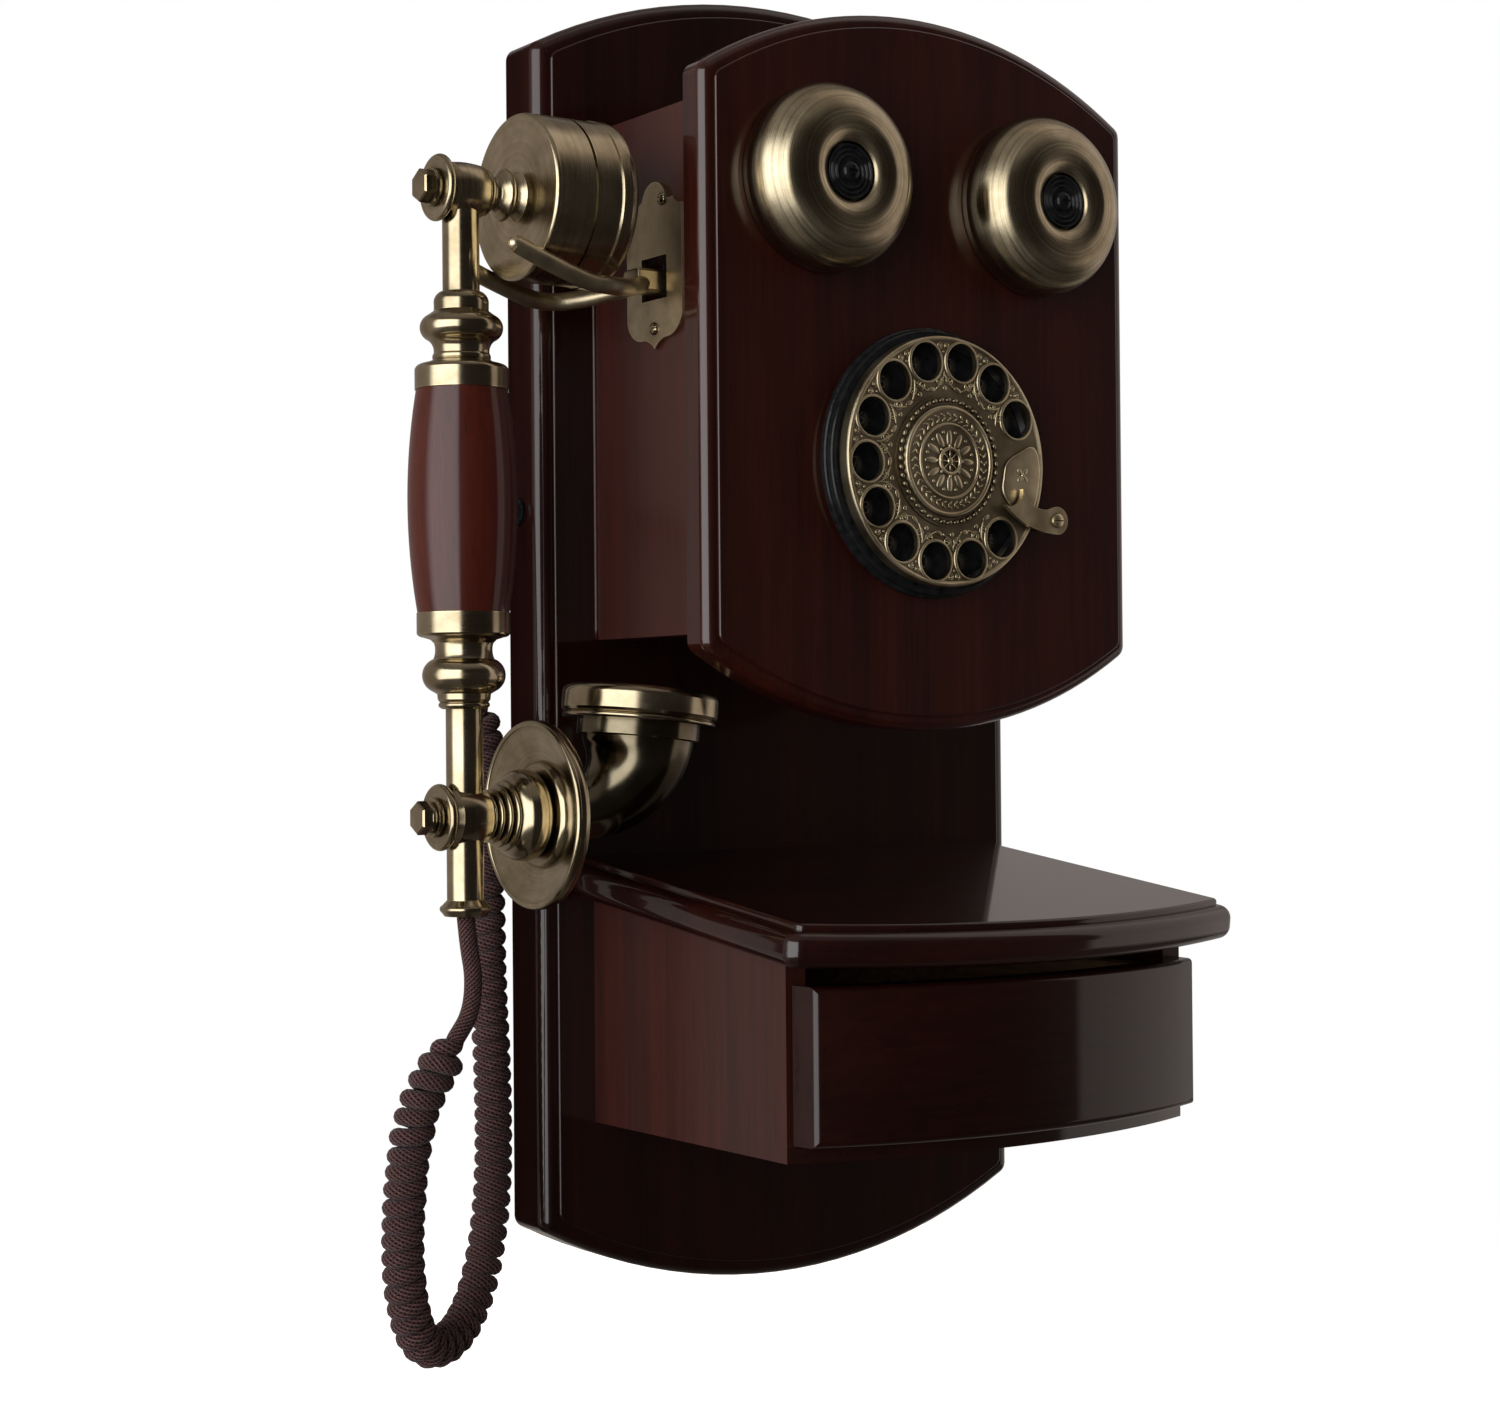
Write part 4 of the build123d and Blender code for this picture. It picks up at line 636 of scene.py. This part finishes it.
def cord_line():
    """Centre of the covered wire: straight tails, and turns round the route in the coiled stretch."""
    route = Route(route_points())
    first, last = route.nearest(Vector(CORD_COIL[0]) * MM), route.nearest(Vector(CORD_COIL[-1]) * MM)
    bottom = route.nearest(Vector(LOOP_BOTTOM) * MM)
    line, s, angle = [], 0.0, 0.0
    while s < route.length:
        place, along, normal = route.at(s)
        side = eased((s - bottom) / STRAND_CHANGE + 0.5)
        turn_r = WALL_TURN_R + (HAND_TURN_R - WALL_TURN_R) * side
        pitch = WALL_PITCH + (HAND_PITCH - WALL_PITCH) * side
        wobble = noise.noise(Vector((s * WOBBLES_PER_METRE, 3.7, 0.0)))
        tight = eased((s - first) / COIL_END) * eased((last - s) / COIL_END)
        r = turn_r * tight * (1 + TURN_R_WOBBLE * wobble)
        other = along.cross(normal)
        line.append(place + (normal * math.cos(angle) + other * math.sin(angle)) * r)
        if tight > 0:
            step = pitch * (1 + PITCH_WOBBLE * wobble) / TURN_STEPS
            angle += 2 * math.pi / TURN_STEPS * min(1.0, 0.25 + tight)
        else:
            step = TAIL_STEP
        s += step
    line.append(route.points[-1])
    return line


def make_cord(material):
    """The curly cord from the backboard's bushing to the handset's lower tube, as one covered wire."""
    line = cord_line()
    mesh = bpy.data.meshes.new("handset_cord")
    sides, count = CORD_SIDES, len(line)
    verts, faces, along_at = [], [], [0.0]
    normal = Vector((0, 1, 0))
    for i, point in enumerate(line):
        along = (line[min(i + 1, count - 1)] - line[max(i - 1, 0)]).normalized()
        normal = (normal - along * normal.dot(along)).normalized()
        other = along.cross(normal)
        verts += [point + (normal * math.cos(a) + other * math.sin(a)) * CORD_DIAMETER / 2
                  for a in ring_angles(sides)]
        if i:
            along_at.append(along_at[-1] + (point - line[i - 1]).length)
            a, b = (i - 1) * sides, i * sides
            faces += [(a + k, a + (k + 1) % sides, b + (k + 1) % sides, b + k) for k in range(sides)]
    rings = len(faces)
    faces += [tuple(range(sides))[::-1], tuple(range((count - 1) * sides, count * sides))]
    mesh.from_pydata(verts, [], faces)
    layer = mesh.uv_layers.new(name="cord")
    for face in mesh.polygons[:rings]:
        ring, k = divmod(face.index, sides)
        for loop, (du, dv) in zip(face.loop_indices, ((0, 0), (1, 0), (1, 1), (0, 1))):
            layer.data[loop].uv = ((k + du) / sides, along_at[ring + dv])
    mesh.shade_smooth()
    cord = mesh_piece("handset_cord", mesh, material, None)
    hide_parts("cord_tail_wall", "cord_coil", "cord_tail_handset")
    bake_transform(cord)


# ---- finishes of the CAD nodes ---------------------------------------------------------
def finish_nodes(finishes):
    for names, material in finishes:
        for name in names.split():
            node = NODES[name]
            node.data.materials.clear()
            node.data.materials.append(material)


def middle_of(name):
    low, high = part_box(name)
    return (low + high) / 2


WOOD_DARK, WOOD_LIGHT = (0.0150, 0.0023, 0.0012), (0.042, 0.0070, 0.0036)
GRIP_DARK, GRIP_LIGHT = (0.045, 0.0064, 0.0034), (0.092, 0.0150, 0.0080)
# The darker share is painted shade on the boards that lie in shade, and the brighter share painted light on
# the lit sides.
PAINTED_SHADE_SHARE, PAINTED_LIGHT_SHARE = 0.55, 1.35       # of the wood's colour, on the shaded boards and on the sides


def shared(colour, share):
    return [v * share for v in colour]


def make_materials():
    """Makes every finish, puts each on its CAD nodes, and returns those that the pieces need."""
    # The darker copy of the wood is painted shade, and the brighter copy is painted light.
    shade_copy_dark, shade_copy_light = shared(WOOD_DARK, PAINTED_SHADE_SHARE), shared(WOOD_LIGHT, PAINTED_SHADE_SHARE)
    lit_copy_dark, lit_copy_light = shared(WOOD_DARK, PAINTED_LIGHT_SHARE), shared(WOOD_LIGHT, PAINTED_LIGHT_SHARE)
    panel = lacquered_wood("lacquered_mahogany", "Z", WOOD_DARK, WOOD_LIGHT)
    deep = lacquered_wood("lacquered_mahogany_painted_shade", "Z", shade_copy_dark, shade_copy_light, coat=0.8)
    satin = lacquered_wood("satin_mahogany_painted_light", "Z", lit_copy_dark, lit_copy_light, 0.30, 0.08)
    level = lacquered_wood("lacquered_mahogany_level_painted_shade", "X", shade_copy_dark, shade_copy_light)
    drawer = lacquered_wood("lacquered_mahogany_drawer_painted_shade", "X", shade_copy_dark, shade_copy_light, coat=0.65)
    grip = lacquered_wood("grip_mahogany", "Z", GRIP_DARK, GRIP_LIGHT, 0.05, coat=0.6)
    smooth = brass("antique_brass_smooth")
    # tone 1.6 on the cast dial brass is painted light, for faces that look at the dim front.
    cast = {"hollow": 2.0 * MM, "depth": 0.98, "roughness": (0.30, 0.46), "open_from": 0.95, "tone": 1.6}
    relief = brass("antique_brass_relief_painted_light", front=WHEEL_FRONT, **cast)
    medal = brass("antique_brass_medallion_painted_light", front=MEDALLION_FRONT, **cast)
    # tone 1.12 on the bells is painted light.
    bell = {"axis": "Y", "brushed": 0.8, "roughness": (0.19, 0.31), "tone": 1.12}
    upright = brass("turned_brass_upright", middle_of("handset_grip"), "Z")
    # tone 1.2 on the receiver is painted light.
    receiver = brass("turned_brass_receiver_painted_light", middle_of("receiver_shell"), "X", 0.4, (0.17, 0.30), tone=1.2)
    transmitter = brass("turned_brass_transmitter", middle_of("transmitter_disc"), "X", 0.4)
    black = gloss_black("black_gloss")
    steel = plated_steel("zinc_plate")
    bare = bare_wood("bare_wood")
    finish_nodes([
        # Painted shade on the backboard, the box's top and bottom, the shelf, the case bottom and the drawer
        # front; painted light on the box's and the case's sides.
        ("backboard box_top box_bottom", deep),
        ("face_panel", panel),
        ("box_left_side box_right_side case_sides", satin),
        ("shelf_top case_bottom", level),
        ("drawer_front", drawer),
        ("drawer_sides drawer_back drawer_bottom", bare),
        ("handset_grip crank_knob", grip),
        ("bell_left", brass("brushed_brass_left_painted_light", middle_of("bell_left"), **bell)),
        ("bell_right", brass("brushed_brass_right_painted_light", middle_of("bell_right"), **bell)),
        ("upper_neck upper_tube lower_neck lower_tube", upright),
        ("receiver_shell receiver_neck receiver_tee ear_cap", receiver),
        ("transmitter_neck transmitter_disc transmitter_tee", transmitter),
        ("mouth_ring cross_nuts hook_pin dial_spindle hook_plate_screws", smooth),
        # tone 0.38 on the horn is painted shade.
        ("transmitter_horn", brass("antique_brass_horn_painted_shade", tone=0.38)),
        # tone 1.4 on the hook plate and fork is painted light.
        ("hook_plate hook_fork", brass("antique_brass_satin_painted_light", roughness=(0.28, 0.40), tone=1.4)),
        ("crank_bushing crank_handle", brass("turned_brass_crank", middle_of("crank_bushing"), "X")),
        ("dial_wheel finger_stop finger_stop_screw", relief),
        ("dial_medallion", medal),
        ("bell_caps bell_screws dial_base number_plate dial_mechanism mouth_grille line_jack cord_bushing",
         black),
        ("bell_posts hanger_plates hook_bracket receiver_capsule", steel),
        ("circuit_board hook_switch", circuit_green("solder_mask")),
    ])
    # lacquer is the sides' brighter copy of the wood, which is painted light.
    return {"relief": relief, "medal": medal, "lacquer": satin}


# ---- studio ----------------------------------------------------------------------------
WINDOW_GLOW, RIGHT_GLOW, REAR_GLOW, CEILING_GLOW, FRONT_GLOW = 3.2, 0.64, 0.32, 0.25, 0.03
ROOM_TINT = (1.0, 0.88, 0.81)
# Where each glow rises and falls: degrees round from straight in front, with the right side positive.
WINDOW_RISE, WINDOW_FALL = (-120, -94), (-42, -32)
RIGHT_RISE, RIGHT_FALL = (48, 51), (95, 125)
REAR_RISE = (92, 104)
# Left edge and half height of the dark sheet beside the backboard, which is painted shade.
SHADE_SHEET_LEFT, SHADE_SHEET_HALF_H = -0.125, 0.33
FLOOR_Z, FLOOR_R = -0.42, 1.05
FLOOR_GLOW_FROM, FLOOR_GLOW_TO = 0.15, 0.45        # metres behind the telephone, seen from the camera
FLOOR_GLOW_LEAST = 0.3


def make_world():
    """A room with a tall window of light at the left, and dim in front of the telephone.

    Warm light comes from the room and white light from the window. The background itself is seen as white.
    """
    world = bpy.data.worlds.new("studio")
    bpy.context.scene.world = world
    world.use_nodes = True
    t = Tree(world.node_tree)

    def fade(value, edge, start=0.0, end=1.0):
        return t.spread(value, edge[0], edge[1], start, end, smooth=True)

    def turn(edge):
        return [math.radians(v) for v in edge]

    x, y, z = t.add("SeparateXYZ", {0: t.add("TexCoord").outputs["Generated"]}).outputs
    round_ = t.math("ARCTAN2", x, t.math("MULTIPLY", y, -1.0))
    right = t.math("MULTIPLY", fade(round_, turn(RIGHT_RISE), 0.0, RIGHT_GLOW),
                   fade(round_, turn(RIGHT_FALL), 1.0, 0.0))
    right = t.math("MULTIPLY", right, fade(z, (-0.45, -0.25), 0.1, 1.0))
    rear = t.math("MULTIPLY", fade(t.math("ABSOLUTE", round_), turn(REAR_RISE)),
                  fade(t.math("ABSOLUTE", z), (0.5, 0.8), REAR_GLOW, 0.1))
    window = t.math("MULTIPLY", fade(round_, turn(WINDOW_RISE)), fade(round_, turn(WINDOW_FALL), 1.0, 0.0))
    off_middle = t.math("ABSOLUTE", t.math("SUBTRACT", z, 0.06))
    window = t.math("MULTIPLY", window, fade(off_middle, (0.40, 0.50), WINDOW_GLOW, 0.12))
    above = fade(z, (0.45, 0.9), 0.0, CEILING_GLOW)
    strength = FRONT_GLOW
    for glow in (right, rear, window, above):
        strength = t.math("MAXIMUM", strength, glow)
    seen = t.add("LightPath").outputs["Is Camera Ray"]
    background = world.node_tree.nodes["Background"]
    plain = t.math("MAXIMUM", seen, t.spread(window, 0.1, 0.6))
    t.put(t.mix(plain, ROOM_TINT, (1.0, 1.0, 1.0)), background.inputs["Color"])
    t.put(t.math("MAXIMUM", strength, seen), background.inputs["Strength"])


def make_floor():
    """A pale floor below the telephone that glows towards the back, so that it runs into the white."""
    bm = bmesh.new()
    bmesh.ops.create_circle(bm, cap_ends=True, segments=96, radius=FLOOR_R,
                            matrix=Matrix.Translation((0, 0, FLOOR_Z)))
    floor = in_scene("floor", finished("floor", bm, smooth=False))
    m = Material("pale_floor", Roughness=0.9)
    cloud = m.noise(m.place((6, 6, 6)), detail=3.0)
    m.set("Base Color", m.ramp(cloud, [(0.3, (0.84, 0.84, 0.84)), (0.7, (0.88, 0.88, 0.88))]))
    m.shader.inputs["Emission Color"].default_value = (1, 1, 1, 1)
    x, y, _ = m.add("SeparateXYZ", {0: m.place((math.sin(CAMERA_YAW), math.cos(CAMERA_YAW), 1))}).outputs
    glow = m.spread(m.math("ADD", x, y), FLOOR_GLOW_FROM, FLOOR_GLOW_TO, FLOOR_GLOW_LEAST, 1.0, smooth=True)
    m.set("Emission Strength", glow)
    floor.data.materials.append(m.material)
    floor.visible_glossy = floor.visible_diffuse = False


def make_shade_sheet():
    """A strip of unlit dark sheet beside the backboard, painted shade standing in for a dark part of the
    room: it is seen only as a dark reflection in the lacquer and brass.
    """
    y, right = 1.5 * MM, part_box("backboard")[0].x
    corners = [(SHADE_SHEET_LEFT, y, -SHADE_SHEET_HALF_H), (right, y, -SHADE_SHEET_HALF_H), (right, y, SHADE_SHEET_HALF_H),
               (SHADE_SHEET_LEFT, y, SHADE_SHEET_HALF_H)]
    bm = bmesh.new()
    bm.faces.new([bm.verts.new(corner) for corner in corners])
    # This sheet is painted shade, not a wall of the room.
    wall = in_scene("wall", finished("wall", bm, smooth=False))
    m = Material("painted_shade_sheet", Roughness=0.9)
    cloud = m.noise(m.place((9, 9, 9)), detail=3.0)
    m.set("Base Color", m.ramp(cloud, [(0.3, (0.020, 0.017, 0.015)), (0.7, (0.028, 0.024, 0.021))]))
    wall.data.materials.append(m.material)
    wall.visible_camera = False


def make_studio():
    make_world()
    make_floor()
    make_shade_sheet()
    bpy.context.scene.view_settings.view_transform = "Standard"


# ---- everything ------------------------------------------------------------------------
make_camera()
make_cord(braided_cloth("braided_cloth"))
materials = make_materials()
make_filigree(materials["relief"])
make_pad(materials["relief"])
make_medallion_relief(materials["medal"])
make_numerals(worn_paint("numeral_paint"))
# The bead wears the sides' painted light.
make_box_bead(materials["lacquer"])
make_studio()
